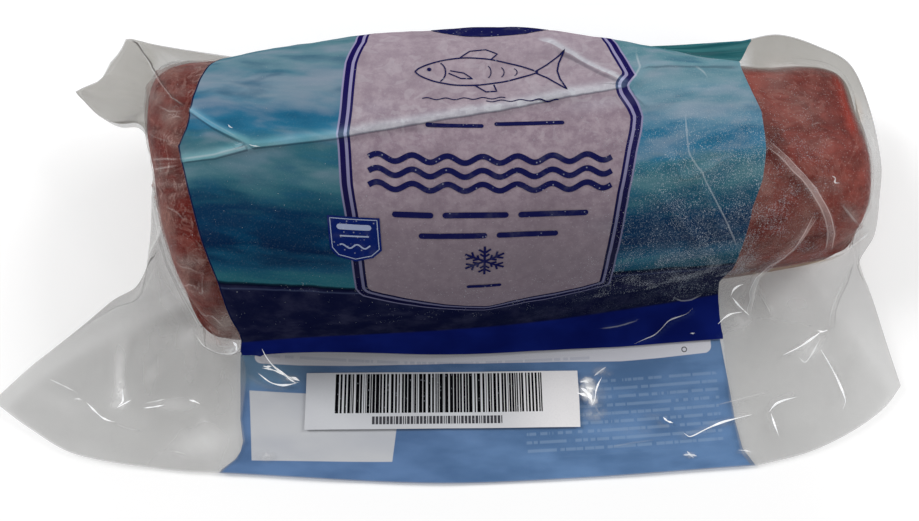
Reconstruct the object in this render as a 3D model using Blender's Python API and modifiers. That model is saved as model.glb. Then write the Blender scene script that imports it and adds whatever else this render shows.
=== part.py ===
"""Frozen tuna loin, vacuum packed in a clear bag, lying on its back.

The bag is one closed solid: two sheets of film that share one sealed rim.  The
upper sheet runs from the rim over the loin, the lower one runs under it.  Both
are lofted along spokes that leave a spine inside the loin and end on the rim.
+X runs along the loin to its narrow end, +Y to the bag's top seal, +Z up.
Sizes are in millimetres until the mesh is written in metres.
"""

import math

import bmesh
import bpy
import numpy as np
from mathutils import Matrix, Vector
from mathutils.bvhtree import BVHTree

# ---------------------------------------------------------------- sizes (mm)
SHIFT_X, SHIFT_Y = 4.75, 2.9  # puts the origin under the middle of the box

LOIN_LEFT, LOIN_RIGHT = -128.6, 178.0  # cut faces of the loin
SLANT, SLANT_AT = 0.24, 15.0  # the wide end is cut aslant, longer at the back
SLANT_RIGHT, SLANT_RIGHT_AT = -0.127, 30.0  # the narrow end is longer at the front
END_POWER = 24.0  # how square the cut ends are
SIDE_POWER = 2.7  # roundness across the loin
TOP_POWER = 2.15
CREST_BACK = 0.20  # how far the ridge of the loin lies towards the back
# x, front edge y, back edge y, height of the ridge
LOIN_STATIONS = (
    (-135.0, -60.0, 67.5, 86.4),
    (-75.0, -45.0, 73.0, 99.0),
    (5.0, -38.5, 79.5, 104.0),
    (75.0, -26.5, 73.5, 99.0),
    (125.0, -16.5, 68.0, 83.0),
    (182.0, -6.2, 76.0, 67.2),
)
BOX_RIGHT, BOX_LEFT = (90.0, 160.0), (-95.0, -125.0)  # where the section turns squarer
BOX_SIDE, BOX_TOP = 1.0, 0.8  # how much squarer
EQUATOR_FRONT, EQUATOR_BACK = 36.0, 44.0  # height of the loin's widest line
EQUATOR_DROP = 8.0  # how much lower that line is at the narrow end
FLAT_SHARE = 0.60  # share of the underside that lies flat

SPINE_LEFT, SPINE_RIGHT = -104.0, 132.0
FILM = 0.6  # half thickness of the two sheets where they lie together
ROOT_FRONT = 3.6  # height of the film where it leaves the front of the loin
WALL = 3.0  # how quickly the film drops from the loin on to the flap

# The sealed rim: turn round the end of the spine (0 front, 180 back), x, y, z
RIM_LEFT = (
    (0.0, -104.0, -100.5, 1.6),
    (15.0, -131.0, -98.7, 1.7),
    (29.0, -171.0, -92.0, 2.2),
    (37.5, -193.0, -80.5, 3.5),
    (45.0, -210.0, -69.0, 5.5),
    (52.5, -194.0, -52.5, 6.5),
    (59.0, -174.0, -37.5, 9.0),
    (66.0, -157.0, -28.0, 15.0),
    (73.0, -145.0, -23.0, 24.0),
    (82.0, -138.5, -10.0, 31.0),
    (96.0, -138.5, 15.0, 36.0),
    (110.0, -139.5, 39.0, 40.0),
    (120.0, -146.0, 51.0, 41.0),
    (131.0, -165.0, 56.0, 38.0),
    (142.5, -179.5, 69.0, 40.0),
    (150.0, -164.0, 76.0, 43.0),
    (157.5, -156.0, 93.5, 48.0),
    (168.0, -137.0, 87.5, 50.0),
    (180.0, -104.0, 84.0, 46.0),
)
RIM_RIGHT = (
    (0.0, 132.0, -97.0, 1.6),
    (15.0, 156.0, -91.0, 1.8),
    (28.0, 177.0, -81.5, 2.6),
    (37.5, 192.0, -71.5, 3.2),
    (45.0, 200.5, -62.0, 4.0),
    (54.0, 195.5, -43.0, 8.0),
    (64.0, 189.0, -23.0, 15.0),
    (74.0, 181.0, -11.0, 23.0),
    (84.0, 188.0, 2.0, 28.0),
    (96.0, 191.0, 18.0, 32.0),
    (108.0, 193.5, 35.0, 35.0),
    (124.0, 191.5, 63.0, 38.0),
    (138.0, 184.0, 83.0, 42.0),
    (152.0, 168.0, 90.5, 46.0),
    (166.0, 149.5, 95.5, 48.0),
    (180.0, 132.0, 92.5, 47.0),
)
RIM_CORNERS = (45.0, 142.5, 157.5)  # turns at which the rim has a corner
RIM_FRONT = ((-104.0, -100.5, 1.6), (-13.0, -104.8, 1.5), (52.0, -102.6, 1.5), (132.0, -97.0, 1.6))
RIM_BACK = ((-104.0, 84.0, 46.0), (-55.0, 94.0, 37.0), (10.0, 99.0, 33.0), (75.0, 96.5, 36.0), (132.0, 92.5, 47.0))

COLUMNS = 30  # spokes along the loin, on each side
FAN = 24  # spokes round each end
RINGS_IN, RINGS_OUT = 9, 8

LABEL_LEFT, LABEL_RIGHT = -69.5, 54.0
LABEL_FRONT, LABEL_BACK = -81.0, -55.6
LABEL_TURN = 0.011  # radians
LABEL_THICK = 0.4
LABEL_MARGIN = 1.5  # the label clears the film this far round each of its points
GAP = 0.35  # clearance between the label and the film

MM = 0.001


# ------------------------------------------------------------------- helpers
def smooth_line(table, x, column, corners=()):
    """Catmull-Rom value of one column of a table at x, with a kink at each corner."""
    xs = [row[0] for row in table]
    ys = [row[column] for row in table]
    x = min(max(x, xs[0]), xs[-1])
    k = max(i for i in range(len(xs) - 1) if xs[i] <= x)
    slopes = []
    for i in (k, k + 1):
        low, high = max(i - 1, 0), min(i + 1, len(xs) - 1)
        if xs[i] in corners:
            low, high = k, k + 1
        slopes.append((ys[high] - ys[low]) / (xs[high] - xs[low]))
    width = xs[k + 1] - xs[k]
    t = (x - xs[k]) / width
    return (
        (2 * t**3 - 3 * t**2 + 1) * ys[k]
        + (t**3 - 2 * t**2 + t) * width * slopes[0]
        + (3 * t**2 - 2 * t**3) * ys[k + 1]
        + (t**3 - t**2) * width * slopes[1]
    )


def smoothstep(low, high, x):
    t = min(max((x - low) / (high - low), 0.0), 1.0)
    return t * t * (3 - 2 * t)


def loin_at(x):
    """Middle, half width and ridge height of the loin at x."""
    front, back, top = (smooth_line(LOIN_STATIONS, x, c) for c in (1, 2, 3))
    return (front + back) / 2, (back - front) / 2, top


def squareness(x):
    """0 along the loin, up to 1 at its ends, where the section is squarer."""
    return max(smoothstep(BOX_RIGHT[0], BOX_RIGHT[1], x), 0.5 * smoothstep(-BOX_LEFT[0], -BOX_LEFT[1], -x))


def place(x, y):
    """Where a point lies in the loin's outline: along, across and the reach."""
    middle, half, top = loin_at(x)
    left = LOIN_LEFT - SLANT * (y - SLANT_AT)
    right = LOIN_RIGHT + SLANT_RIGHT * (y - SLANT_RIGHT_AT)
    along = (x - (left + right) / 2) / ((right - left) / 2)
    across = (y - middle) / half
    side = SIDE_POWER + BOX_SIDE * squareness(x)
    return along, across, abs(along) ** END_POWER + abs(across) ** side, top


def equator(x, y):
    _, across, _, _ = place(x, y)
    share = min(max((across + 1) / 2, 0.0), 1.0)
    drop = EQUATOR_DROP * smoothstep(60.0, 170.0, x)
    return EQUATOR_FRONT + (EQUATOR_BACK - EQUATOR_FRONT) * share - drop


def loin_top(x, y):
    along, across, _, top = place(x, y)
    leaning = across - CREST_BACK * (1 - across * across)
    square = squareness(x)
    rest = 1 - abs(along) ** END_POWER - min(abs(leaning), 1.0) ** (SIDE_POWER + BOX_SIDE * square)
    level = equator(x, y)
    return level + (top - level) * max(rest, 0.0) ** (1 / (TOP_POWER + BOX_TOP * square))


def underside(x, y, root):
    """Height of the lower sheet under the loin: flat, then up to its root."""
    reach = min(place(x, y)[2], 1.0) ** (1 / SIDE_POWER)
    climb = max(0.0, (reach - FLAT_SHARE) / (1 - FLAT_SHARE))
    return root * (1 - math.sqrt(max(0.0, 1 - climb * climb)))


def outline_distance(x, y, ux, uy):
    """How far the loin's outline is from a spine point in one direction."""
    low, high = 0.0, 140.0
    for _ in range(50):
        mid = (low + high) / 2
        px = x + mid * ux
        inside = place(px, y + mid * uy)[2] < 1
        low, high = (mid, high) if inside else (low, mid)
    return low


def hull(points):
    """Heights of the tightest line over a profile of distances and heights."""
    kept = []
    for d, z in points:
        while len(kept) > 1 and (kept[-1][0] - kept[-2][0]) * (z - kept[-2][1]) >= (kept[-1][1] - kept[-2][1]) * (d - kept[-2][0]):
            kept.pop()
        kept.append((d, z))
    return np.interp([p[0] for p in points], [k[0] for k in kept], [k[1] for k in kept])


def tautness(x, turn, side):
    """How far the upper film spans straight from the loin to the rim: 0 to 1."""
    if turn == 0.0:
        return 0.0
    if side < 0:
        back = 0.55 * smoothstep(112.0, 135.0, turn) * smoothstep(-180.0, -160.0, -turn)
        return back + 0.35 * smoothstep(48.0, 62.0, turn) * smoothstep(-92.0, -76.0, -turn)
    if turn == 180.0:
        return smoothstep(26.0, 80.0, x)
    return (0.35 + 0.65 * smoothstep(95.0, 128.0, turn)) * smoothstep(60.0, 80.0, turn)


# -------------------------------------------------------------------- spokes
def spokes():
    """Start on the spine, direction, rim point and height of the root, in order."""
    found = []
    step = (SPINE_RIGHT - SPINE_LEFT) / COLUMNS

    def add(index, x, turn, side, rim):
        y = loin_at(x)[0]
        ux, uy = side * math.sin(math.radians(turn)), -math.cos(math.radians(turn))
        reach = outline_distance(x, y, ux, uy)
        level = equator(x + reach * ux, y + reach * uy)
        root = ROOT_FRONT + (level - ROOT_FRONT) * smoothstep(34.0, 92.0, turn)
        found.append((index, x, y, ux, uy, reach, level, root, rim, tautness(x, turn, side)))

    for i in range(COLUMNS):  # along the front, left to right
        x = SPINE_LEFT + i * step
        add(i, x, 0.0, 1, (x, smooth_line(RIM_FRONT, x, 1), smooth_line(RIM_FRONT, x, 2)))
    for i in range(FAN):  # round the narrow end
        turn = 180.0 * i / FAN
        rim = tuple(smooth_line(RIM_RIGHT, turn, c, RIM_CORNERS) for c in (1, 2, 3))
        add(COLUMNS, SPINE_RIGHT, turn, 1, rim)
    for i in range(COLUMNS):  # along the back, right to left
        x = SPINE_RIGHT - i * step
        add(COLUMNS - i, x, 180.0, 1, (x, smooth_line(RIM_BACK, x, 1), smooth_line(RIM_BACK, x, 2)))
    for i in range(FAN):  # round the wide end
        turn = 180.0 - 180.0 * i / FAN
        rim = tuple(smooth_line(RIM_LEFT, turn, c, RIM_CORNERS) for c in (1, 2, 3))
        add(0, SPINE_LEFT, turn, -1, rim)
    return found


def even(points, count):
    """The polyline cut into count stretches of equal length."""
    points = np.array(points)
    run = np.concatenate([[0.0], np.cumsum(np.linalg.norm(np.diff(points, axis=0), axis=1))])
    at = np.linspace(0.0, run[-1], count + 1)
    return np.stack([np.interp(at, run, points[:, k]) for k in range(3)], axis=1)


def spoke_lines(spoke):
    """Upper and lower line of one spoke, from the spine to the rim."""
    _, x, y, ux, uy, reach, level, root, rim, taut = spoke
    inner_top, inner_low = [], []
    for i in range(81):
        d = reach * math.sin(math.pi / 2 * i / 80)
        px, py = x + d * ux, y + d * uy
        inner_top.append((px, py, loin_top(px, py) + FILM))
        inner_low.append((px, py, underside(px, py, root - FILM)))
    ox, oy = x + reach * ux, y + reach * uy
    length = math.hypot(rim[0] - ox, rim[1] - oy)
    outer_top, outer_low = [], []
    for i in range(161):
        q = (i / 160) ** 2
        px, py = ox + q * (rim[0] - ox), oy + q * (rim[1] - oy)
        mid = root + (rim[2] - root) * q**0.85
        drop = (level - root) * (math.exp(-q * length / WALL) - q * math.exp(-length / WALL))
        outer_top.append((px, py, mid + FILM + drop))
        outer_low.append((px, py, mid - FILM))
    if taut > 0.0:
        profile = np.array(inner_top + outer_top[1:])
        far = np.hypot(profile[:, 0] - x, profile[:, 1] - y)
        profile[:, 2] += taut * (hull(list(zip(far, profile[:, 2]))) - profile[:, 2])
        inner_top, outer_top = profile[: len(inner_top)], profile[len(inner_top) - 1 :]
    top = np.concatenate([even(inner_top, RINGS_IN), even(outer_top, RINGS_OUT)[1:]])
    low = np.concatenate([even(inner_low, RINGS_IN), even(outer_low, RINGS_OUT)[1:]])
    return top, low


def bag_mesh():
    lines = [(s[0], *spoke_lines(s)) for s in spokes()]
    verts, faces = [], []
    spine = {}
    for which in (1, 2):  # the spine's points, upper and lower
        for index in range(COLUMNS + 1):
            near = [line[which][0] for line in lines if line[0] == index]
            spine[which, index] = len(verts)
            verts.append(np.mean(near, axis=0))
    count = len(lines[0][1])
    ring = {}
    for number, line in enumerate(lines):
        for which in (1, 2):
            ring[which, number, 0] = spine[which, line[0]]
            for r in range(1, count):
                ring[which, number, r] = len(verts)
                verts.append(line[which][r])
    total = len(lines)
    for number in range(total):
        after = (number + 1) % total
        for which in (1, 2):
            for r in range(count - 1):
                quad = [
                    ring[which, number, r],
                    ring[which, number, r + 1],
                    ring[which, after, r + 1],
                    ring[which, after, r],
                ]
                if quad[0] == quad[3]:
                    quad.pop()
                faces.append(quad if which == 1 else quad[::-1])
        edge = [ring[w, n, count - 1] for w, n in ((1, number), (2, number), (2, after), (1, after))]
        faces.append(edge)
    return np.array(verts), faces


# ------------------------------------------------------------------- objects
def material(name, colour, roughness, alpha=1.0):
    made = bpy.data.materials.new(name)
    made.use_nodes = True
    shader = made.node_tree.nodes["Principled BSDF"]
    shader.inputs["Base Color"].default_value = (*colour, 1.0)
    shader.inputs["Roughness"].default_value = roughness
    shader.inputs["Metallic"].default_value = 0.0
    shader.inputs["Alpha"].default_value = alpha
    return made


def add_bag(collection):
    verts, faces = bag_mesh()
    verts = verts + np.array([SHIFT_X, SHIFT_Y, 0.0])
    mesh = bpy.data.meshes.new("bag")
    mesh.from_pydata([tuple(v * MM) for v in verts], [], faces)
    mesh.update()
    mesh.shade_smooth()
    mesh.set_sharp_from_angle(angle=math.radians(50))
    bag = bpy.data.objects.new("bag", mesh)
    collection.objects.link(bag)
    mesh.materials.append(material("printed_film", (0.16, 0.24, 0.36), 0.22))
    return bag


def add_label(collection, bag):
    """A paper label stuck on the front flap, which it follows with a small gap."""
    film = BVHTree.FromPolygons([v.co for v in bag.data.vertices], [p.vertices for p in bag.data.polygons])

    def film_height(x, y):
        """Highest film within a few millimetres of a point, in metres."""
        found = []
        for dx in (-LABEL_MARGIN, 0.0, LABEL_MARGIN):
            for dy in (-LABEL_MARGIN, 0.0, LABEL_MARGIN):
                start = Vector((x + dx * MM, y + dy * MM, 0.2))
                found.append(film.ray_cast(start, Vector((0.0, 0.0, -1.0)))[0].z)
        return max(found)

    mesh = bpy.data.meshes.new("paper_label")
    grid = bmesh.new()
    bmesh.ops.create_grid(grid, x_segments=14, y_segments=4, size=0.5)
    turn = Matrix.Rotation(LABEL_TURN, 3, "Z")
    centre = Vector(((LABEL_LEFT + LABEL_RIGHT) / 2 + SHIFT_X, (LABEL_FRONT + LABEL_BACK) / 2 + SHIFT_Y, 0.0)) * MM
    for v in grid.verts:
        v.co.x *= (LABEL_RIGHT - LABEL_LEFT) * MM
        v.co.y *= (LABEL_BACK - LABEL_FRONT) * MM
        v.co = turn @ v.co
        v.co.z = film_height(v.co.x + centre.x, v.co.y + centre.y) + GAP * MM
    grid.to_mesh(mesh)
    grid.free()
    label = bpy.data.objects.new("paper_label", mesh)
    label.location = centre
    collection.objects.link(label)
    thick = label.modifiers.new("thickness", "SOLIDIFY")
    thick.thickness = LABEL_THICK * MM
    thick.offset = 1.0
    mesh.materials.append(material("label_paper", (0.75, 0.76, 0.78), 0.6))
    return label


def main():
    for obj in list(bpy.data.objects):
        bpy.data.objects.remove(obj, do_unlink=True)
    scene = bpy.context.scene
    scene.unit_settings.system = "METRIC"
    scene.unit_settings.scale_length = 1.0
    pack = bpy.data.collections.new("packed_tuna_loin")
    scene.collection.children.link(pack)
    add_label(pack, add_bag(pack))


main()
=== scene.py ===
import math

import bpy
import numpy as np
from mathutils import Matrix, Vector
from mathutils.bvhtree import BVHTree
from mathutils.geometry import delaunay_2d_cdt


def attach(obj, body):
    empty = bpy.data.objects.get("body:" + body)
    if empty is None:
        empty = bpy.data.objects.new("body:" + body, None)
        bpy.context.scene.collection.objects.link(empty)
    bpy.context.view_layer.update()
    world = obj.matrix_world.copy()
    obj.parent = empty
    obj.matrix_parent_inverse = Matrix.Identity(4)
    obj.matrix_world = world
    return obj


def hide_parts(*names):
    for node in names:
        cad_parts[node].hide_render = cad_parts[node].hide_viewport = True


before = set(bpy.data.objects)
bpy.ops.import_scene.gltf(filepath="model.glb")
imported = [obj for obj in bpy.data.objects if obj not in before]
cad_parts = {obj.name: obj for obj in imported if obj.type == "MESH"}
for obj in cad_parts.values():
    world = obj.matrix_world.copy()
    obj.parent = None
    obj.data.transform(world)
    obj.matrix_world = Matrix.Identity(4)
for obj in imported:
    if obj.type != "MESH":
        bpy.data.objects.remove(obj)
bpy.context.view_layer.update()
MM = 0.001

# ==================================================================================
# The pack's shape.  Lengths are in millimetres in a working frame whose origin lies
# SHIFT away from the model's; +X along the loin to its narrow end, +Y to the bag's
# top seal, +Z up.
# ==================================================================================
SHIFT = np.array([4.75, 2.9, 0.0])
LOIN_LEFT, LOIN_RIGHT = -128.6, 178.0
SLANT, SLANT_AT = 0.24, 15.0
SLANT_RIGHT, SLANT_RIGHT_AT = -0.127, 30.0
END_POWER, SIDE_POWER, TOP_POWER = 24.0, 2.7, 2.15
CREST_BACK = 0.20
LOIN_STATIONS = (
    (-135.0, -60.0, 67.5, 86.4),
    (-75.0, -45.0, 73.0, 99.0),
    (5.0, -38.5, 79.5, 104.0),
    (75.0, -26.5, 73.5, 99.0),
    (125.0, -16.5, 68.0, 83.0),
    (182.0, -6.2, 76.0, 67.2),
)
BOX_RIGHT, BOX_LEFT = (90.0, 160.0), (-95.0, -125.0)  # where the loin's section turns squarer
BOX_SIDE, BOX_TOP = 1.0, 0.8
EQUATOR_FRONT, EQUATOR_BACK, EQUATOR_DROP = 36.0, 44.0, 8.0
FLAT_SHARE = 0.60
SPINE_LEFT, SPINE_RIGHT = -104.0, 132.0
ROOT_FRONT, WALL = 3.6, 3.0
FILM_GAP = 0.6
RIM_LEFT = (
    (0.0, -104.0, -100.5, 1.6),
    (15.0, -131.0, -98.7, 1.7),
    (29.0, -171.0, -92.0, 2.2),
    (37.5, -193.0, -80.5, 3.5),
    (45.0, -210.0, -69.0, 5.5),
    (52.5, -194.0, -52.5, 6.5),
    (59.0, -174.0, -37.5, 9.0),
    (66.0, -157.0, -28.0, 15.0),
    (73.0, -145.0, -23.0, 24.0),
    (82.0, -138.5, -10.0, 31.0),
    (96.0, -138.5, 15.0, 36.0),
    (110.0, -139.5, 39.0, 40.0),
    (120.0, -146.0, 51.0, 41.0),
    (131.0, -165.0, 56.0, 38.0),
    (142.5, -179.5, 69.0, 40.0),
    (150.0, -164.0, 76.0, 43.0),
    (157.5, -156.0, 93.5, 48.0),
    (168.0, -137.0, 87.5, 50.0),
    (180.0, -104.0, 84.0, 46.0),
)
RIM_RIGHT = (
    (0.0, 132.0, -97.0, 1.6),
    (15.0, 156.0, -91.0, 1.8),
    (28.0, 177.0, -81.5, 2.6),
    (37.5, 192.0, -71.5, 3.2),
    (45.0, 200.5, -62.0, 4.0),
    (54.0, 195.5, -43.0, 8.0),
    (64.0, 189.0, -23.0, 15.0),
    (74.0, 181.0, -11.0, 23.0),
    (84.0, 188.0, 2.0, 28.0),
    (96.0, 191.0, 18.0, 32.0),
    (108.0, 193.5, 35.0, 35.0),
    (124.0, 191.5, 63.0, 38.0),
    (138.0, 184.0, 83.0, 42.0),
    (152.0, 168.0, 90.5, 46.0),
    (166.0, 149.5, 95.5, 48.0),
    (180.0, 132.0, 92.5, 47.0),
)
RIM_FRONT = ((-104.0, -100.5, 1.6), (-13.0, -104.8, 1.5), (52.0, -102.6, 1.5), (132.0, -97.0, 1.6))
RIM_BACK = ((-104.0, 84.0, 46.0), (-55.0, 94.0, 37.0), (10.0, 99.0, 33.0), (75.0, 96.5, 36.0), (132.0, 92.5, 47.0))

CORNERS = (45.0, 142.5, 157.5)  # turns at which the rim has a corner

COLUMNS, FAN = 140, 188  # spokes along each side and round each end
RINGS_IN, RINGS_OUT = 62, 84
STEP = (SPINE_RIGHT - SPINE_LEFT) / COLUMNS
SPOKES = 2 * (COLUMNS + FAN)


def smooth_line(table, x, column, corners=()):
    """Catmull-Rom value of one column of a table at x, with a kink at each corner."""
    xs = np.array([row[0] for row in table])
    ys = np.array([row[column] for row in table])
    x = np.clip(x, xs[0], xs[-1])
    k = np.clip(np.searchsorted(xs, x, side="right") - 1, 0, len(xs) - 2)
    low = np.maximum(np.arange(len(xs)) - 1, 0)
    high = np.minimum(np.arange(len(xs)) + 1, len(xs) - 1)
    slope = (ys[high] - ys[low]) / (xs[high] - xs[low])
    width = xs[k + 1] - xs[k]
    chord = (ys[k + 1] - ys[k]) / width
    kinked = np.isin(xs, corners)
    start = np.where(kinked[k], chord, slope[k])
    end = np.where(kinked[k + 1], chord, slope[k + 1])
    t = (x - xs[k]) / width
    return (
        (2 * t**3 - 3 * t**2 + 1) * ys[k]
        + (t**3 - 2 * t**2 + t) * width * start
        + (3 * t**2 - 2 * t**3) * ys[k + 1]
        + (t**3 - t**2) * width * end
    )


def smoothstep(low, high, x):
    t = np.clip((x - low) / (high - low), 0.0, 1.0)
    return t * t * (3 - 2 * t)


def loin_at(x):
    front, back, top = (smooth_line(LOIN_STATIONS, x, c) for c in (1, 2, 3))
    return (front + back) / 2, (back - front) / 2, top


def squareness(x):
    """0 along the loin, up to 1 at its ends, where the section is squarer."""
    return np.maximum(smoothstep(*BOX_RIGHT, x), 0.5 * smoothstep(*BOX_LEFT, x))


def place(x, y):
    """Where a point lies in the loin's outline: along, across and the reach."""
    middle, half, top = loin_at(x)
    left = LOIN_LEFT - SLANT * (y - SLANT_AT)
    right = LOIN_RIGHT + SLANT_RIGHT * (y - SLANT_RIGHT_AT)
    along = (x - (left + right) / 2) / ((right - left) / 2)
    across = (y - middle) / half
    side = SIDE_POWER + BOX_SIDE * squareness(x)
    return along, across, np.abs(along) ** END_POWER + np.abs(across) ** side, top


def equator(x, y):
    across = place(x, y)[1]
    share = np.clip((across + 1) / 2, 0.0, 1.0)
    return EQUATOR_FRONT + (EQUATOR_BACK - EQUATOR_FRONT) * share - EQUATOR_DROP * smoothstep(60.0, 170.0, x)


def loin_top(x, y):
    along, across, _, top = place(x, y)
    leaning = across - CREST_BACK * (1 - across * across)
    square = squareness(x)
    rest = 1 - np.abs(along) ** END_POWER - np.minimum(np.abs(leaning), 1.0) ** (SIDE_POWER + BOX_SIDE * square)
    level = equator(x, y)
    return level + (top - level) * np.maximum(rest, 0.0) ** (1 / (TOP_POWER + BOX_TOP * square))


def underside(x, y, root):
    reach = np.minimum(place(x, y)[2], 1.0) ** (1 / SIDE_POWER)
    climb = np.maximum(0.0, (reach - FLAT_SHARE) / (1 - FLAT_SHARE))
    return root * (1 - np.sqrt(np.maximum(0.0, 1 - climb * climb)))


def spokes():
    """Every spoke's start, direction, reach, equator height, root height, rim point and turn."""
    along = SPINE_LEFT + STEP * np.arange(COLUMNS)
    # the spokes stand closer together towards the wide front corners
    fine = np.linspace(0.0, 180.0, 1801)
    weight = 1 + 1.9 * smoothstep(4.0, 16.0, fine) * smoothstep(84.0, 68.0, fine)
    passed = np.concatenate([[0.0], np.cumsum((weight[1:] + weight[:-1]) / 2)])
    turn = np.interp(np.arange(FAN) / FAN * passed[-1], passed, fine)
    mirrored = np.interp(passed[-1] * (1 - np.arange(FAN) / FAN), passed, fine)
    back = SPINE_RIGHT - (along - SPINE_LEFT)
    x = np.concatenate([along, np.full(FAN, SPINE_RIGHT), back, np.full(FAN, SPINE_LEFT)])
    turns = np.concatenate([np.zeros(COLUMNS), turn, np.full(COLUMNS, 180.0), mirrored])
    side = np.concatenate([np.ones(COLUMNS + FAN + COLUMNS), -np.ones(FAN)])
    rim = np.concatenate(
        [
            np.stack([along, smooth_line(RIM_FRONT, along, 1), smooth_line(RIM_FRONT, along, 2)], 1),
            np.stack([smooth_line(RIM_RIGHT, turn, c, CORNERS) for c in (1, 2, 3)], 1),
            np.stack([back, smooth_line(RIM_BACK, back, 1), smooth_line(RIM_BACK, back, 2)], 1),
            np.stack([smooth_line(RIM_LEFT, mirrored, c, CORNERS) for c in (1, 2, 3)], 1),
        ]
    )
    y = loin_at(x)[0]
    ux, uy = side * np.sin(np.radians(turns)), -np.cos(np.radians(turns))
    low, high = np.zeros(len(x)), np.full(len(x), 140.0)
    for _ in range(44):
        mid = (low + high) / 2
        inside = place(x + mid * ux, y + mid * uy)[2] < 1
        low, high = np.where(inside, mid, low), np.where(inside, high, mid)
    level = equator(x + low * ux, y + low * uy)
    root = ROOT_FRONT + (level - ROOT_FRONT) * smoothstep(34.0, 92.0, turns)
    return x, y, ux, uy, low, level, root, rim, turns


def even(points, count):
    """The polyline cut into count stretches of equal length."""
    run = np.concatenate([[0.0], np.cumsum(np.linalg.norm(np.diff(points, axis=0), axis=1))])
    at = np.linspace(0.0, run[-1], count + 1)
    return np.stack([np.interp(at, run, points[:, k]) for k in range(points.shape[1])], axis=1)


def hull(distance, height):
    """Height of the tightest line over a profile."""
    kept = []
    for d, z in zip(distance, height):
        while len(kept) > 1 and (kept[-1][0] - kept[-2][0]) * (z - kept[-2][1]) >= (kept[-1][1] - kept[-2][1]) * (d - kept[-2][0]):
            kept.pop()
        kept.append((d, z))
    return np.interp(distance, [k[0] for k in kept], [k[1] for k in kept])


def tautness(x, turns):
    """How far the upper film spans straight from the loin to the rim, per spoke."""
    right_end = 0.35 + 0.65 * smoothstep(95.0, 128.0, turns)
    right = np.where(turns > 179.9, smoothstep(26.0, 80.0, x), right_end * smoothstep(60.0, 80.0, turns))
    left = 0.55 * smoothstep(112.0, 135.0, turns) * smoothstep(180.0, 160.0, turns) + 0.35 * smoothstep(48.0, 62.0, turns) * smoothstep(92.0, 76.0, turns)
    return np.where((x <= SPINE_LEFT) & (turns < 179.9), left, right) * (turns > 1.0)


def sheets():
    """Upper film, the loin's upper side, lower film and the loin's lower side, as grids of spokes by rings."""
    x, y, ux, uy, reach, level, root, rim, turns = spokes()
    share = np.sin(np.pi / 2 * np.arange(121) / 120)
    px = x[:, None] + reach[:, None] * share * ux[:, None]
    py = y[:, None] + reach[:, None] * share * uy[:, None]
    inner_top = np.stack([px, py, loin_top(px, py) + FILM_GAP], 2)
    inner_low = np.stack([px, py, underside(px, py, (root - FILM_GAP)[:, None])], 2)
    belly = np.stack([px, py, underside(px, py, (level - 1.0)[:, None])], 2)
    q = (np.arange(161) / 160) ** 2
    ox, oy = px[:, -1:], py[:, -1:]
    qx, qy = ox + q * (rim[:, :1] - ox), oy + q * (rim[:, 1:2] - oy)
    length = np.hypot(rim[:, :1] - ox, rim[:, 1:2] - oy)
    mid = root[:, None] + (rim[:, 2:] - root[:, None]) * q**0.85
    drop = (level - root)[:, None] * (np.exp(-q * length / WALL) - q * np.exp(-length / WALL))
    half = FILM_GAP * (1 - 0.9 * smoothstep(0.90, 1.0, q))
    outer_top = np.stack([qx, qy, mid + half + drop], 2)
    outer_low = np.stack([qx, qy, mid - half], 2)
    taut = tautness(x, turns)
    top, own_top, low, own_low, lifted = [], [], [], [], []
    for k in range(len(x)):
        own_top.append(even(inner_top[k], RINGS_IN))
        profile = np.concatenate([inner_top[k], outer_top[k][1:]])
        if taut[k] > 0:
            far = np.hypot(profile[:, 0] - x[k], profile[:, 1] - y[k])
            over = taut[k] * (hull(far, profile[:, 2]) - profile[:, 2])
        else:
            over = np.zeros(len(profile))
        profile = np.column_stack([profile, over])
        profile[:, 2] += over
        cut = len(inner_top[k])
        ring = np.concatenate([even(profile[:cut], RINGS_IN), even(profile[cut - 1 :], RINGS_OUT)[1:]])
        top.append(ring[:, :3])
        lifted.append(ring[:, 3])
        low.append(np.concatenate([even(inner_low[k], RINGS_IN), even(outer_low[k], RINGS_OUT)[1:]]))
        own_low.append(even(belly[k], RINGS_IN))
    return np.array(top), np.array(own_top), np.array(low), np.array(own_low), np.array(lifted), turns


def grid_normals(grid, flip=1.0):
    around = np.roll(grid, -1, 0) - np.roll(grid, 1, 0)
    along = np.gradient(grid, axis=1)
    normal = np.cross(along, around) * flip
    size = np.linalg.norm(normal, axis=2, keepdims=True)
    normal = normal / np.maximum(size, 1e-9)
    normal[:, 0] = normal[:, 1]
    return normal


def noise(points, seed=0):
    """Gradient noise of an array of points, about -1 to 1."""
    points = np.asarray(points, float)
    cell = np.floor(points).astype(np.int64)
    f = points - cell
    u = f * f * f * (f * (f * 6 - 15) + 10)
    total = np.zeros(points.shape[:-1])
    for corner in range(8):
        step = np.array([corner & 1, (corner >> 1) & 1, (corner >> 2) & 1])
        c = cell + step
        h = (c[..., 0] * 73856093) ^ (c[..., 1] * 19349663) ^ (c[..., 2] * 83492791) ^ (seed * 2654435761 + 97)
        h = (h ^ (h >> 13)) & 0xFFFFFFFF
        h = (h * 1274126177) & 0xFFFFFFFF
        h = h ^ (h >> 16)
        slope = np.stack([(h >> s & 1023) / 511.5 - 1 for s in (0, 10, 20)], -1)
        weight = np.prod(np.where(step == 1, u, 1 - u), axis=-1)
        total += weight * ((f - step) * slope).sum(-1)
    return total * 1.5


# ==================================================================================
# The camera's own projection, for putting folds where they are seen
# ==================================================================================
ELEVATION, DISTANCE, FOCAL = math.radians(70.0), 400.0, 826.0
WIDTH, HEIGHT = 919, 521
EYE = DISTANCE * np.array([0.0, -math.cos(ELEVATION), math.sin(ELEVATION)])


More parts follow.
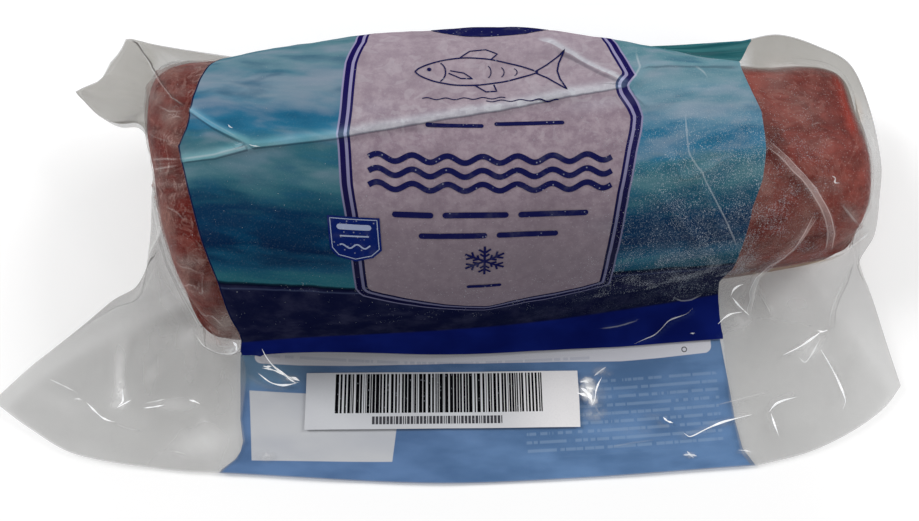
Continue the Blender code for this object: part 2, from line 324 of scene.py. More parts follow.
def seen_at(points):
    offset = points - EYE
    depth = -(offset @ (EYE / DISTANCE))
    up = np.array([0.0, math.sin(ELEVATION), math.cos(ELEVATION)])
    return np.stack([WIDTH / 2 + FOCAL * offset[..., 0] / depth, HEIGHT / 2 - FOCAL * (offset @ up) / depth], -1)


def off_line(where, line):
    """Distance from a polyline, its side, and the share of its length, for points of the picture."""
    line = np.array(line, float)
    lengths = np.linalg.norm(np.diff(line, axis=0), axis=1)
    total = lengths.sum()
    best = np.full(where.shape[:-1], 1e9)
    side = np.zeros_like(best)
    share = np.zeros_like(best)
    before = 0.0
    for a, b, size in zip(line[:-1], line[1:], lengths):
        way = (b - a) / size
        rel = where - a
        t = np.clip(rel @ way, 0.0, size)
        gap = rel - t[..., None] * way
        dist = np.hypot(gap[..., 0], gap[..., 1])
        turned = way[0] * rel[..., 1] - way[1] * rel[..., 0]
        near = dist < best
        best = np.where(near, dist, best)
        side = np.where(near, turned, side)
        share = np.where(near, (before + t) / total, share)
        before += size
    return best, side, share


# Folds of the upper film: line in the picture, height in mm, width above and below
# (right and left of a line that runs down) in picture points, lightening (partly doubled film, partly painted
# highlight), kind.
FOLDS = [
    # long ridges over the printed band
    ([(179, 161), (215, 157), (255, 147), (334, 138), (407, 126), (433, 121), (504, 109), (558, 98), (602, 90), (627, 86)], 2.4, 12, 2.2, 0.55, "sharp"),
    ([(538, 40), (560, 50), (580, 61), (602, 72), (627, 84)], 1.8, 9, 3.0, 0.45, "sharp"),
    ([(186, 108), (193, 113), (213, 126), (239, 139), (257, 147)], 1.7, 4.5, 2.0, 0.5, "sharp"),
    ([(627, 85), (640, 78), (652, 66)], 1.2, 4, 4, 0.2, "soft"),
    ([(627, 86), (636, 98), (650, 108)], 1.0, 3, 4, 0.2, "soft"),
    ([(664, 146), (672, 162), (680, 178), (694, 176), (716, 164)], 0.9, 4, 4, 0.12, "soft"),
    ([(650, 190), (668, 205), (690, 232), (706, 250)], 0.8, 5, 4, 0.08, "soft"),
    ([(700, 178), (712, 205), (722, 236)], 0.8, 4, 5, 0.08, "soft"),
    # where the film leaves the loin towards the top seal
    ([(640, 68), (664, 65), (690, 64), (715, 63), (738, 65), (756, 68)], 0.9, 3, 3, 0.35, "soft"),
    # pleats over the narrow end
    ([(771, 148), (790, 166), (813, 191), (826, 214), (831, 232), (829, 252)], 1.6, 4.6, 4.6, 0.62, "pleat"),
    ([(814, 217), (800, 236), (778, 255), (756, 275), (748, 300), (748, 314)], 1.4, 3.4, 3.4, 0.62, "pleat"),
    ([(762, 66), (790, 71), (820, 75), (842, 80)], 0.9, 4, 3, 0.3, "soft"),
    ([(833, 252), (846, 249), (858, 240), (870, 230)], 1.0, 4, 4, 0.3, "soft"),
    ([(838, 196), (850, 214), (866, 232)], 0.8, 3.5, 3, 0.3, "soft"),
    # wide end
    ([(148, 186), (166, 184), (186, 188)], 0.9, 3, 3, 0.5, "soft"),
    ([(150, 197), (170, 197), (190, 193)], 0.7, 2.4, 2.4, 0.35, "soft"),
    ([(152, 130), (166, 136), (180, 150)], 0.7, 3, 3, 0.35, "soft"),
    ([(168, 250), (186, 262), (206, 262)], 0.7, 3, 3, 0.3, "soft"),
    ([(178, 275), (196, 292), (214, 290)], 0.7, 3, 3, 0.3, "soft"),
    # ear at the top left
    ([(129, 38), (139, 45), (152, 63), (162, 81), (175, 99), (186, 108)], 1.3, 3, 2, 0.25, "sharp"),
    ([(77, 93), (96, 86), (118, 80), (140, 84), (158, 92)], 1.6, 7, 5, 0.08, "soft"),
    ([(108, 75), (126, 98), (146, 112)], 1.2, 6, 5, 0.08, "soft"),
    # large front-left flap
    ([(46, 377), (58, 382), (70, 388), (82, 394)], 0.6, 3.4, 4.6, 0.03, "soft"),
    ([(84, 400), (94, 408), (106, 416), (118, 423), (132, 429)], 0.8, 3.6, 6, 0.04, "soft"),
    ([(132, 330), (129, 350), (125, 372), (122, 390), (121, 402)], 1.1, 5.0, 6, 0.06, "soft"),
    ([(114, 412), (124, 408), (132, 402)], 0.5, 3.2, 3.4, 0.03, "soft"),
    ([(144, 407), (154, 406), (166, 402)], 0.5, 3.1, 3.2, 0.03, "soft"),
    ([(190, 400), (197, 402), (206, 405)], 0.4, 3.1, 3.2, 0.03, "soft"),
    ([(196, 420), (216, 432), (240, 446)], 0.8, 12, 10, 0.04, "soft"),
    ([(134, 430), (156, 420), (180, 400), (200, 372)], 0.9, 10, 9, 0.03, "soft"),
    ([(194, 360), (204, 392), (222, 440)], 0.8, 10, 10, 0.03, "soft"),
    ([(152, 240), (156, 268), (166, 292), (178, 312), (190, 332)], 1.0, 4, 6, 0.12, "soft"),
    # front flap, over the back print
    ([(254, 348), (263, 360), (274, 368), (283, 378), (288, 386)], 1.0, 2.3, 2.3, 0.4, "soft"),
    ([(246, 372), (256, 381), (268, 387), (282, 389), (294, 383)], 1.0, 2.3, 2.3, 0.35, "soft"),
    ([(676, 428), (684, 436), (696, 432), (712, 425), (732, 419), (752, 414)], 1.1, 2.4, 2.6, 0.4, "soft"),
    ([(656, 420), (662, 426), (670, 426)], 0.7, 2.0, 2.0, 0.3, "soft"),
    ([(580, 376), (594, 382), (602, 396), (594, 412)], 1.1, 5, 4, 0.25, "soft"),
    ([(602, 327), (620, 325), (640, 318)], 0.6, 1.8, 1.8, 0.3, "soft"),
    ([(634, 344), (655, 337), (672, 322), (690, 314), (697, 305)], 0.9, 1.9, 1.9, 0.35, "soft"),
    ([(716, 340), (728, 330), (744, 326)], 0.8, 1.9, 1.9, 0.3, "soft"),
    # front-right flap
    ([(748, 281), (738, 292), (733, 299), (740, 308), (750, 316)], 1.4, 2.4, 2.4, 0.4, "soft"),
    ([(756, 283), (764, 300), (770, 318)], 0.9, 3, 3, 0.2, "soft"),
    ([(853, 262), (846, 282), (838, 298), (833, 312), (832, 326), (822, 341), (810, 356)], 1.3, 2.4, 2.4, 0.3, "sharp"),
    ([(784, 356), (800, 347), (818, 333)], 1.1, 2.4, 2.4, 0.35, "soft"),
    ([(820, 332), (814, 346), (806, 362)], 0.9, 3.4, 2.6, 0.3, "soft"),
    ([(822, 352), (830, 366), (837, 378), (843, 394), (842, 404)], 1.0, 2.4, 2.6, 0.25, "soft"),
    ([(800, 392), (786, 396), (775, 401), (769, 410), (772, 424), (778, 435)], 1.1, 2.3, 2.4, 0.3, "soft"),
    ([(726, 406), (746, 399), (766, 394)], 0.7, 2.1, 2.1, 0.15, "soft"),
    ([(824, 270), (812, 300), (780, 318), (752, 320)], 1.0, 9, 9, 0.04, "soft"),
    ([(862, 300), (866, 340), (872, 376)], 1.2, 10, 9, 0.03, "soft"),
    ([(784, 432), (808, 424), (840, 410)], 0.9, 8, 8, 0.03, "soft"),
    # clear strip beyond the narrow end
    ([(858, 92), (868, 130), (872, 168), (868, 200), (872, 228)], 0.8, 4, 4, 0.1, "soft"),
]
# Painted shade, dark lines in a crease: line, half width in picture points, strength
CREASE_SHADES = [
    ([(181, 163), (215, 159), (255, 149.5), (334, 140), (407, 128), (433, 123), (504, 111), (558, 100), (602, 92), (624, 88)], 1.25, 0.6),
    ([(188, 111), (213, 129), (239, 142.5), (252, 148)], 1.4, 0.5),
    ([(131, 40), (139, 46), (152, 64), (162, 82), (175, 100), (186, 109)], 1.1, 0.75),
    ([(556, 52), (580, 64), (602, 76), (620, 84)], 2.0, 0.42),
    ([(629, 88), (634, 98), (644, 107)], 1.3, 0.35),
    ([(673, 164), (681, 181), (694, 179), (716, 167), (740, 152)], 1.6, 0.22),
    ([(641, 70), (664, 67.5), (690, 66.5), (715, 66), (738, 68)], 1.3, 0.4),
    ([(752, 70), (790, 72), (818, 73), (836, 76)], 1.2, 0.35),
    ([(854, 262), (848, 282), (840, 298), (835, 312), (834, 326)], 1.0, 0.35),
    ([(152, 178), (166, 173), (180, 168)], 1.1, 0.3),
]
# Painted highlights, thin bright lines: line, half width in picture points, strength
SHINES = [
    # wide flap on the left
    ([(49, 379), (60, 384), (76, 392)], 1.3, 0.55),
    ([(74, 399), (78, 398.5), (82, 400)], 1.5, 0.6),
    ([(86, 402), (93, 409), (101, 417), (108, 420.5), (115, 422)], 1.4, 0.85),
    ([(122, 388), (123, 396), (123, 402), (118, 406)], 1.5, 1.0),
    ([(117, 407.5), (124, 404), (131, 400)], 1.3, 0.85),
    ([(144, 408), (154, 407), (164, 405)], 1.3, 0.75),
    ([(146, 403), (155, 401.5), (165, 399)], 1.0, 0.45),
    ([(189, 400), (194, 401), (200, 404)], 1.4, 0.75),
    ([(172, 451), (178, 452), (185, 454)], 1.2, 0.4),
    ([(115, 423), (126, 428), (140, 431)], 1.2, 0.25),
    # over the back print
    ([(262, 349), (266, 357), (273, 366), (281, 372), (290, 378), (299, 381)], 1.5, 0.95),
    ([(276, 368), (283, 373), (289, 379), (296, 383)], 1.5, 0.9),
    ([(262, 368), (270, 369), (279, 372), (286, 377)], 1.5, 0.9),
    ([(290, 377), (294, 377.5), (300, 381)], 1.8, 0.9),
    ([(258, 373), (264, 378), (271, 383), (281, 385.5), (291, 384.5), (299, 382)], 1.6, 0.95),
    ([(263, 366), (267, 367), (272, 366)], 1.7, 0.8),
    ([(684, 433), (689, 437), (694, 435.5), (706, 429), (722, 422), (738, 418), (752, 414.5)], 1.7, 1.0),
    ([(663, 417), (667, 421), (673, 423)], 1.6, 0.9),
    ([(683, 455), (690, 454.5), (697, 456)], 2.0, 0.6),
    ([(687, 451), (690, 455), (694, 458)], 1.6, 0.6),
    ([(738, 450), (745, 450.5), (752, 452)], 1.2, 0.5),
    ([(602, 377), (598, 384), (595.5, 392), (595, 400), (592, 405)], 1.3, 0.75),
    ([(594, 405), (597, 411), (604, 418)], 1.5, 0.4),
    ([(580, 382), (585, 381), (589, 383)], 1.6, 0.8),
    ([(581, 388), (586, 391), (590, 396), (592, 402)], 3.2, 0.85),
    ([(577, 393), (582, 394), (588, 397)], 2.2, 0.8),
    ([(586, 387), (590, 389), (593, 388)], 1.4, 0.7),
    ([(594, 376), (600, 371), (606, 367)], 1.6, 0.5),
    ([(602, 328), (618, 325.5), (637, 320)], 1.1, 0.35),
    ([(634, 344), (645, 339), (655, 335), (662, 328), (669, 320), (678, 317), (687, 314), (693, 308)], 0.9, 0.5),
    ([(674, 298), (682, 301), (691, 300), (701, 295)], 1.0, 0.4),
    ([(690, 333), (692, 333.5), (695, 333)], 1.2, 0.6),
    ([(610, 447), (630, 443), (654, 440)], 1.2, 0.25),
    # flap on the right
    ([(718, 324), (724, 318), (731, 313.5), (742, 312)], 1.5, 0.9),
    ([(731, 296), (733, 290), (738, 286), (744, 284)], 1.4, 0.8),
    ([(732, 297), (739, 306), (749, 315)], 1.4, 0.75),
    ([(757, 290), (764, 302), (770, 316)], 1.1, 0.4),
    ([(783, 355), (798, 348), (810, 340), (822, 331)], 1.7, 1.0),
    ([(817, 330), (822, 332), (828, 330)], 1.4, 0.8),
    ([(799, 357), (805, 364), (812, 354), (820, 339)], 1.5, 0.5),
    ([(821, 350), (829, 363), (837, 378), (843, 392), (846, 401), (843, 409)], 1.6, 0.85),
    ([(769, 412), (775, 404), (784, 400), (797, 397)], 1.6, 0.9),
    ([(771, 413), (774, 423), (779, 436)], 1.4, 0.7),
    ([(717, 405), (740, 399), (767, 392)], 1.1, 0.4),
    ([(850, 262), (845, 280), (836, 297), (831, 312), (829, 326)], 1.2, 0.5),
    ([(759, 318), (784, 321), (812, 326)], 1.2, 0.3),
    # narrow end
    ([(840, 203), (848, 213), (858, 225)], 1.7, 0.4),
    ([(832, 176), (836, 178), (834, 183), (840, 183)], 1.5, 0.6),
    ([(809, 126), (816, 123), (824, 122)], 1.3, 0.35),
    ([(846, 251), (858, 242), (869, 233)], 1.4, 0.5),
    # over the sea, right
    ([(685, 115), (687, 135), (690, 154), (704, 176), (714, 196), (725, 218), (737, 246)], 1.3, 0.3),
    ([(629, 84), (635, 76), (640, 67), (636, 52)], 1.6, 0.3),
    ([(696, 66), (704, 70), (708, 76)], 1.2, 0.3),
    # over the sea, left
    ([(186, 107.5), (196, 113), (213, 124), (231, 134), (240, 140)], 1.2, 0.12),
    ([(228, 124.5), (230, 127), (233, 128)], 1.3, 0.6),
    ([(249, 144.5), (254, 146), (260, 146.5)], 1.1, 0.5),
    ([(182, 159.5), (215, 155.5), (250, 147.5)], 1.6, 0.3),
    # wide end
    ([(126, 39), (139, 44), (149, 62), (160, 82), (173, 99), (186, 107)], 1.2, 0.4),
    ([(150, 160), (164, 159), (181, 160)], 1.9, 0.4),
    ([(148, 170), (162, 168), (178, 165)], 1.7, 0.35),
    ([(172, 119), (178, 117), (183, 119)], 1.2, 0.3),
    ([(149, 132), (158, 138), (171, 143)], 1.3, 0.3),
    ([(150, 184), (152, 204), (158, 234), (166, 262), (182, 296), (200, 328)], 1.5, 0.4),
    ([(158, 106), (170, 112), (184, 112)], 1.2, 0.3),
    ([(163, 206), (176, 212), (186, 222)], 1.4, 0.35),
    ([(172, 256), (180, 266), (190, 268), (201, 274)], 1.2, 0.25),
    ([(182, 288), (190, 283), (197, 287), (206, 298)], 1.2, 0.25),
    ([(196, 304), (203, 315), (213, 316), (224, 327)], 1.2, 0.35),
    ([(206, 326), (214, 330), (222, 339), (233, 341)], 1.2, 0.4),
    ([(204, 268), (202, 285), (206, 300)], 1.1, 0.25),
    ([(196, 335), (203, 346), (216, 353), (230, 355), (239, 350), (240, 340)], 1.3, 0.6),
    ([(233, 342), (237, 346), (236, 351)], 2.2, 1.0),
]
# Painted light and shade: soft lighter (+) and darker (-) areas of the loose film, also laid over the print and the
# meat: centre, half sizes, turn, value
SHADES = [
    ((119, 370), (6, 26), 0.0, 0.55), ((205, 441), (32, 13), -15.0, 0.5), ((151, 378), (13, 34), 4.0, -0.55),
    ((224, 378), (11, 40), 0.0, -0.7), ((152, 312), (18, 30), 0.0, -0.45), ((188, 336), (10, 9), 0.0, 0.4),
    ((60, 402), (26, 9), 20.0, 0.25), ((800, 302), (26, 20), 0.0, 0.5), ((752, 306), (11, 26), 0.0, -0.55),
    ((808, 352), (14, 7), -35.0, 0.5), ((860, 330), (9, 40), -12.0, 0.25), ((775, 425), (10, 24), 0.0, -0.35),
    ((598, 104), (30, 6), -6.0, 0.6), ((372, 110), (22, 9), -8.0, 0.35), ((716, 163), (20, 5), -22.0, 0.4),
    ((738, 138), (16, 14), 0.0, -0.45), ((650, 113), (13, 7), 0.0, -0.4), ((722, 108), (26, 6), 0.0, -0.35),
    ((692, 86), (42, 7), 0.0, 0.35), ((300, 114), (44, 9), 0.0, -0.35), ((290, 158), (62, 8), -3.0, -0.3),
    ((640, 225), (40, 9), 0.0, -0.35), ((166, 222), (8, 24), -12.0, -0.7), ((172, 73), (11, 7), 0.0, -0.8),
    ((173, 121), (9, 9), 0.0, -0.7), ((176, 143), (9, 9), 0.0, -0.5), ((186, 276), (5, 20), -20.0, -0.5),
    ((806, 214), (13, 18), 20.0, -0.5), ((752, 205), (10, 18), 20.0, -0.3), ((780, 240), (26, 8), -20.0, -0.4),
    ((100, 440), (40, 8), 12.0, -0.25), ((171, 405), (26, 7), 0.0, 0.35), ((845, 370), (9, 30), 20.0, -0.4),
]
# Soft reflections on the clear film: centre, width and height in picture points, strength
GLARE = [
    ((588, 392), 8.0, 8.0, 1.35), ((572, 394), 13.0, 4.5, 0.6), ((587, 381), 6.0, 3.5, 1.2), ((602, 372), 9.0, 5.0, 0.45),
    ((595, 414), 12.0, 7.0, 0.4), ((592, 401), 4.0, 5.0, 1.2),
    ((121, 391), 4.5, 11.0, 0.9), ((118, 405), 7.0, 3.5, 0.7), ((291, 379), 6.0, 3.5, 0.8), ((268, 367), 6.0, 3.0, 0.6), ((266, 456), 9.0, 5.0, 0.45), ((118, 397), 14.0, 12.0, 0.18),
    ((742, 320), 10.0, 12.0, 0.25), ((812, 345), 10.0, 9.0, 0.35), ((722, 423), 16.0, 4.0, 0.25), ((636, 430), 34.0, 7.0, 0.12),
    ((690, 455), 5.0, 3.0, 0.5), ((745, 452), 8.0, 3.0, 0.3), ((233, 345), 6.0, 5.0, 0.6), ((656, 416), 20.0, 4.0, 0.15),
]
# Frosted patches on the clear film: centre, radius in picture points, strength
MILK = [
    ((226, 322), 17.0, 0.75), ((207, 292), 13.0, 0.45), ((236, 340), 12.0, 0.8), ((190, 262), 11.0, 0.35), ((168, 112), 14.0, 0.35),
    ((204, 70), 12.0, 0.3), ((160, 168), 12.0, 0.30), ((741, 262), 13.0, 0.5), ((850, 240), 12.0, 0.4), ((776, 80), 18.0, 0.35),
    ((763, 180), 12.0, 0.3), ((836, 186), 9.0, 0.4), ((850, 214), 11.0, 0.4), ((800, 100), 20.0, 0.25), ((752, 262), 10.0, 0.4),
    ((159, 100), 9.0, 0.5), ((182, 92), 8.0, 0.3), ((160, 168), 7.0, 0.4),
]
# Flattened pleats seen as pale bands of doubled film with two bright edges, painted highlights: line, half width,
# strength
PLEATS = [
    ([(768, 143), (777, 151), (790, 165), (803, 178), (813, 191), (821, 204), (826, 216), (830, 232), (828, 252)], 3.4, 0.55),
    ([(816, 215), (806, 231), (797, 244), (784, 255), (770, 265), (757, 276), (750, 290), (748, 314)], 2.4, 0.55),
]
# Ridges whose upper face catches the light: line, width of that face, strength
BEVELS = [
    ([(179, 162), (215, 158), (255, 148), (334, 139), (407, 127), (433, 122), (504, 110), (558, 99), (602, 91), (627, 87)], 13.0, 1.0),
    ([(186, 109), (193, 114), (213, 127), (239, 140), (257, 148)], 9.0, 0.9),
    ([(538, 41), (560, 51), (580, 62), (602, 73), (627, 85)], 6.0, 0.85),
]
# Pillows of trapped air: centre, half sizes, turn in degrees, height in mm
PILLOWS = [
    ((216, 340), (27, 11), 20.0, 4.2),
    ((590, 396), (24, 22), 0.0, 1.6),
    ((668, 400), (52, 34), 8.0, 1.3),
    ((748, 298), (14, 17), 0.0, 1.6),
    ((172, 378), (34, 24), -30.0, 1.6),
    ((836, 360), (26, 30), 15.0, 1.5),
]


def relief(base, normal):
    """Height of the folds on the upper film and their whitening, partly doubled film and partly painted highlight."""
    where = seen_at(base)
    facing = smoothstep(-0.02, 0.10, ((EYE - base) * normal).sum(-1) / np.linalg.norm(EYE - base, axis=-1))
    height = np.zeros(base.shape[:-1])
    fold_whitening_and_highlight = np.zeros_like(height)
    for line, tall, above, below, white, kind in FOLDS:
        dist, side, share = off_line(where, line)
        width = np.where(side > 0, below, above)
        r = dist / width
        if kind == "pleat":
            shape = 1 / (1 + r**6)
        elif kind == "soft":
            shape = np.exp(-r * r)
        else:
            shape = np.exp(-(np.sqrt(r * r + 0.04) - 0.2))
        ends = smoothstep(0.0, 0.16, share) * smoothstep(0.0, 0.16, 1 - share)
        wobble = 1 + 0.35 * noise(np.stack([share * 6, share * 0 + tall * 3, share * 0], -1), 5)
        height += tall * shape * (0.25 + 0.75 * ends) * wobble * (dist < 6 * width)
        fold_whitening_and_highlight += white * shape * ends * (dist < 6 * width)
    for (cx, cy), (rx, ry), turn, tall in PILLOWS:
        a = math.radians(turn)
        dx, dy = where[..., 0] - cx, where[..., 1] - cy
        u, v = (dx * math.cos(a) + dy * math.sin(a)) / rx, (-dx * math.sin(a) + dy * math.cos(a)) / ry
        height += tall * np.maximum(0.0, 1 - u * u - v * v) ** (0.7 if tall > 3 else 1.5)
    return height * facing, fold_whitening_and_highlight * facing


def strokes(base, normal, table, reach=6.5):
    """Signed distance from the nearest line of a table, in its widths, and its strength there."""
    where = seen_at(base)
    facing = smoothstep(-0.02, 0.06, ((EYE - base) * normal).sum(-1) / np.linalg.norm(EYE - base, axis=-1))
    nearest = np.full(base.shape[:-1], 1e9)
    gap, strength = np.full(base.shape[:-1], 9.0), np.zeros(base.shape[:-1])
    for line, width, strong in table:
        dist, side, share = off_line(where, line)
        long = np.linalg.norm(np.diff(np.array(line, float), axis=0), axis=1).sum()
        fade = min(0.4, 7.0 / long)
        ends = smoothstep(0.0, fade, share) * smoothstep(0.0, fade, 1 - share)
        far = reach + width
        k = strong * (0.25 + 0.75 * ends) * smoothstep(far, 0.45 * far, dist) * np.where((share <= 0) | (share >= 1), smoothstep(3.5, 1.0, dist), 1.0)
        near = dist < nearest
        nearest = np.where(near, dist, nearest)
        gap = np.where(near, np.where(side > 0, dist, -dist) / width, gap)
        strength = np.where(near, k, strength)
    return gap, strength * facing


# ==================================================================================
# Shape of everything
# ==================================================================================
TOP, CROWN, LOW, BELLY, LIFTED, TURNS = sheets()
CROWN_NORMAL = grid_normals(CROWN)
TOP_NORMAL = grid_normals(TOP)
RING = np.arange(RINGS_IN + RINGS_OUT + 1)
OUT_SHARE = np.clip((RING - RINGS_IN) / RINGS_OUT, 0.0, 1.0)[None, :] * np.ones((SPOKES, 1))
RUN = np.concatenate([np.zeros((SPOKES, 1)), np.cumsum(np.linalg.norm(np.diff(TOP, axis=1), axis=2), 1)], 1)
LOW_RUN = np.concatenate([np.zeros((SPOKES, 1)), np.cumsum(np.linalg.norm(np.diff(LOW, axis=1), axis=2), 1)], 1)


def flat_run(run):
    """Length along the film from the front rim, for every point of a sheet."""
    whole = run[:, -1]
    s = np.zeros_like(run)
    front = np.arange(COLUMNS)
    s[front] = whole[front, None] - run[front]
    right = COLUMNS + np.arange(FAN)
    s[right] = whole[COLUMNS] - run[right] * np.cos(np.radians(TURNS[right]))[:, None]
    back = COLUMNS + FAN + np.arange(COLUMNS)
    same = np.minimum(COLUMNS - np.arange(COLUMNS), COLUMNS)
    s[back] = whole[same][:, None] + run[back]
    left = 2 * COLUMNS + FAN + np.arange(FAN)
    s[left] = whole[0] - run[left] * np.cos(np.radians(TURNS[left]))[:, None]
    return s


FLAT = flat_run(RUN)
LOW_FLAT = flat_run(LOW_RUN)


def lumps(points):
    """Unevenness of the frozen loin, in mm, shared by the meat and the film on it."""
    p = points / np.array([60.0, 34.0, 34.0])
    big = noise(p, 1) * 1.3
    mid = noise(points / np.array([24.0, 15.0, 15.0]), 2) * 0.55
    small = noise(points / 7.0, 3) * 0.16
    return big + mid + small


ON_LOIN = (1 - smoothstep(0.0, 0.10, OUT_SHARE)) * (1 - smoothstep(0.2, 2.5, LIFTED))
IN_FIN = smoothstep(0.06, 0.30, OUT_SHARE)
LUMPS = lumps(TOP)
WAVES = noise(TOP * np.array([1, 1, 0]) / 46.0, 11) * 1.1 + noise(TOP * np.array([1, 1, 0]) / 21.0, 12) * 0.18
WAVES = WAVES * IN_FIN
RISE, FOLD_WHITENING_AND_HIGHLIGHT = relief(TOP, TOP_NORMAL)
CREEP = noise(TOP / 6.0, 21) * 0.10 + noise(TOP / 2.6, 22) * 0.04  # fine film crinkle
film_up = TOP + TOP_NORMAL * ((LUMPS * ON_LOIN) + RISE + CREEP * (0.2 + 0.8 * ON_LOIN))[..., None]
film_up[..., 2] += WAVES
near_rim = smoothstep(0.93, 1.0, OUT_SHARE)
film_low = LOW.copy()
low_waves = noise(LOW * np.array([1, 1, 0]) / 46.0, 11) * 1.1 + noise(LOW * np.array([1, 1, 0]) / 21.0, 12) * 0.18
film_low[..., 2] += low_waves * IN_FIN
film_low[..., 2] = np.maximum(film_low[..., 2], 0.12)
# both films meet in the seal
film_up[..., 2] = np.maximum(film_up[..., 2], film_low[..., 2] + 0.35 * (1 - near_rim) + 0.06)
film_up[..., 2] += near_rim * (film_low[..., 2] + 0.10 - film_up[..., 2])

# local pulls on the loose film, both sheets alike: the shoulder of the left flap, the left ear's lower and upper edge
for spot, half, pull in (
    ((127.0, 284.0), (19.0, 17.0), (2.9, -4.9)),
    ((140.0, 141.0), (19.0, 14.0), (0.0, 6.6)),
    ((110.0, 65.0), (11.0, 12.0), (-2.8, 2.2)),
):
    near = np.exp(-(((seen_at(LOW) - spot) / half) ** 2).sum(-1)) * IN_FIN
    for sheet in (film_up, film_low):
        sheet[..., :2] += near[..., None] * np.array(pull)

CROWN_LUMPS = lumps(CROWN)
meat_up = CROWN + CROWN_NORMAL * (CROWN_LUMPS - 0.75)[..., None]
outward = BELLY[:, -1:, :2] - BELLY[:, :1, :2]
outward = outward / np.linalg.norm(outward, axis=2, keepdims=True)
bulge = smoothstep(0.55, 0.98, RING[: RINGS_IN + 1] / RINGS_IN)[None, :, None]
meat_low = BELLY.copy()
meat_low[..., :2] += outward * bulge * (np.minimum(CROWN_LUMPS[:, RINGS_IN], 0.3) - 1.1)[:, None, None]
meat_low[..., 2] += 0.8


# ==================================================================================
# Meshes
# ==================================================================================
SPINE_OF = np.concatenate([np.arange(COLUMNS), np.full(FAN, COLUMNS), COLUMNS - np.arange(COLUMNS), np.zeros(FAN, int)])


def with_spine(values):
    """Values of a grid as a list: the spine's points first, then each spoke from its second ring."""
    tail = values.shape[2:]
    spine = np.zeros((COLUMNS + 1,) + tail)
    count = np.bincount(SPINE_OF, minlength=COLUMNS + 1).astype(float)
    np.add.at(spine, SPINE_OF, values[:, 0])
    spine /= count.reshape((-1,) + (1,) * len(tail))
    return np.concatenate([spine, values[:, 1:].reshape((-1,) + tail)])


def grid_faces(rings, flip=False, base=0):
    """Faces between neighbouring spokes of a grid whose points with_spine lists from number base."""
    per, first = rings - 1, base + COLUMNS + 1
    faces = []
    for k in range(SPOKES):
        n = (k + 1) % SPOKES
        a, b = first + k * per, first + n * per
        sa, sb = base + int(SPINE_OF[k]), base + int(SPINE_OF[n])
        start = [sa, a, b] if sa == sb else [sa, a, b, sb]
        faces.append(start[::-1] if flip else start)
        for r in range(per - 1):
            quad = [a + r, a + r + 1, b + r + 1, b + r]
            faces.append(quad[::-1] if flip else quad)
    return faces


def new_object(name, points, faces, smooth=True, sharp=None):
    """A mesh object from points in the working frame (mm)."""
    mesh = bpy.data.meshes.new(name)
    mesh.from_pydata(((np.asarray(points) + SHIFT) * MM).tolist(), [], faces)
    mesh.validate()
    mesh.update()
    if smooth:
        mesh.shade_smooth()
    if sharp:
        mesh.set_sharp_from_angle(angle=math.radians(sharp))
    made = bpy.data.objects.new(name, mesh)
    bpy.context.scene.collection.objects.link(made)
    return made


def add_field(made, name, values):
    made.data.attributes.new(name, "FLOAT", "POINT").data.foreach_set("value", np.asarray(values, np.float32).ravel())


def polygon_distance(px, py, polygon):
    """Signed distance from a closed polygon, positive inside."""
    polygon = np.array(polygon, float)
    best = np.full(px.shape, 1e9)
    inside = np.zeros(px.shape, bool)
    for (ax, ay), (bx, by) in zip(polygon, np.roll(polygon, -1, 0)):
        dx, dy = bx - ax, by - ay
        t = np.clip(((px - ax) * dx + (py - ay) * dy) / (dx * dx + dy * dy), 0, 1)
        best = np.minimum(best, np.hypot(px - ax - t * dx, py - ay - t * dy))
        cross = (ay > py) != (by > py)
        with np.errstate(divide="ignore", invalid="ignore"):
            hit = px < (bx - ax) * (py - ay) / (by - ay) + ax
        inside ^= cross & hit
    return np.where(inside, best, -best)


# ==================================================================================
# The print, in flat coordinates: X along the loin, s along the film from the front rim
# ==================================================================================
PRINT_LEFT = (
    (0.0, -105.0), (1.6, -104.0), (6.5, -98.4), (14.5, -95.6), (24.0, -98.0), (62.0, -96.2), (73.4, -93.3), (87.1, -92.0),
    (116.0, -93.5), (134.4, -98.1), (153.2, -102.9), (162.5, -105.8), (171.0, -107.7), (177.9, -105.3), (184.9, -104.6), (192.1, -104.7),
    (201.6, -103.5), (210.7, -101.6), (222.4, -98.9), (330.0, -96.0),
)
PRINT_RIGHT = (
    (0.0, 129.2), (5.9, 125.0), (17.8, 123.6), (31.6, 122.2), (57.4, 122.2), (72.9, 121.3), (92.4, 116.6), (102.6, 118.6), (122.5, 116.7),
    (145.4, 117.0), (156.8, 120.2), (166.9, 121.7), (185.2, 121.7), (194.2, 118.8), (209.3, 115.9), (214.4, 116.8), (227.1, 123.6),
    (237.1, 128.6), (243.9, 132.0), (251.3, 135.9), (262.0, 139.0), (330.0, 139.0),
)
BACK_LEFT = ((0.0, -106.0), (1.6, -105.1), (6.5, -99.4), (10.0, -97.4), (14.5, -96.8), (20.0, -98.0), (24.0, -98.8), (44.0, -100.3), (60.0, -101.4), (330.0, -101.0))
BACK_RIGHT = ((0.0, 131.0), (3.0, 129.1), (8.0, 126.2), (20.0, 124.3), (34.0, 123.2), (46.0, 122.1), (58.0, 121.1), (330.0, 121.0))
PANEL = (
    (11.2, 96.2), (61.8, 110.0), (61.8, 130.0), (64.0, 158.0), (66.8, 174.0), (68.4, 181.0), (69.2, 187.0), (67.6, 191.4), (64.2, 197.6),
    (63.6, 199.8), (67.4, 204.2), (65.2, 211.0), (63.2, 217.6), (61.4, 226.0), (60.6, 262.0), (11.2, 268.0), (-40.0, 262.0),
    (-40.8, 224.8), (-43.6, 211.0), (-44.2, 195.5), (-45.0, 179.0), (-43.8, 161.0), (-42.2, 150.0), (-40.8, 131.0), (-40.4, 116.5), (-38.4, 113.0),
)
CONTACT = (
    (-104.0, 71.0), (-90.5, 71.8), (-68.6, 72.2), (-46.7, 73.3), (-23.1, 75.6), (-1.2, 77.0), (22.4, 76.7), (46.0, 76.8), (69.6, 78.3),
    (94.9, 79.0), (106.7, 79.7), (118.5, 80.6), (133.6, 81.5),
)
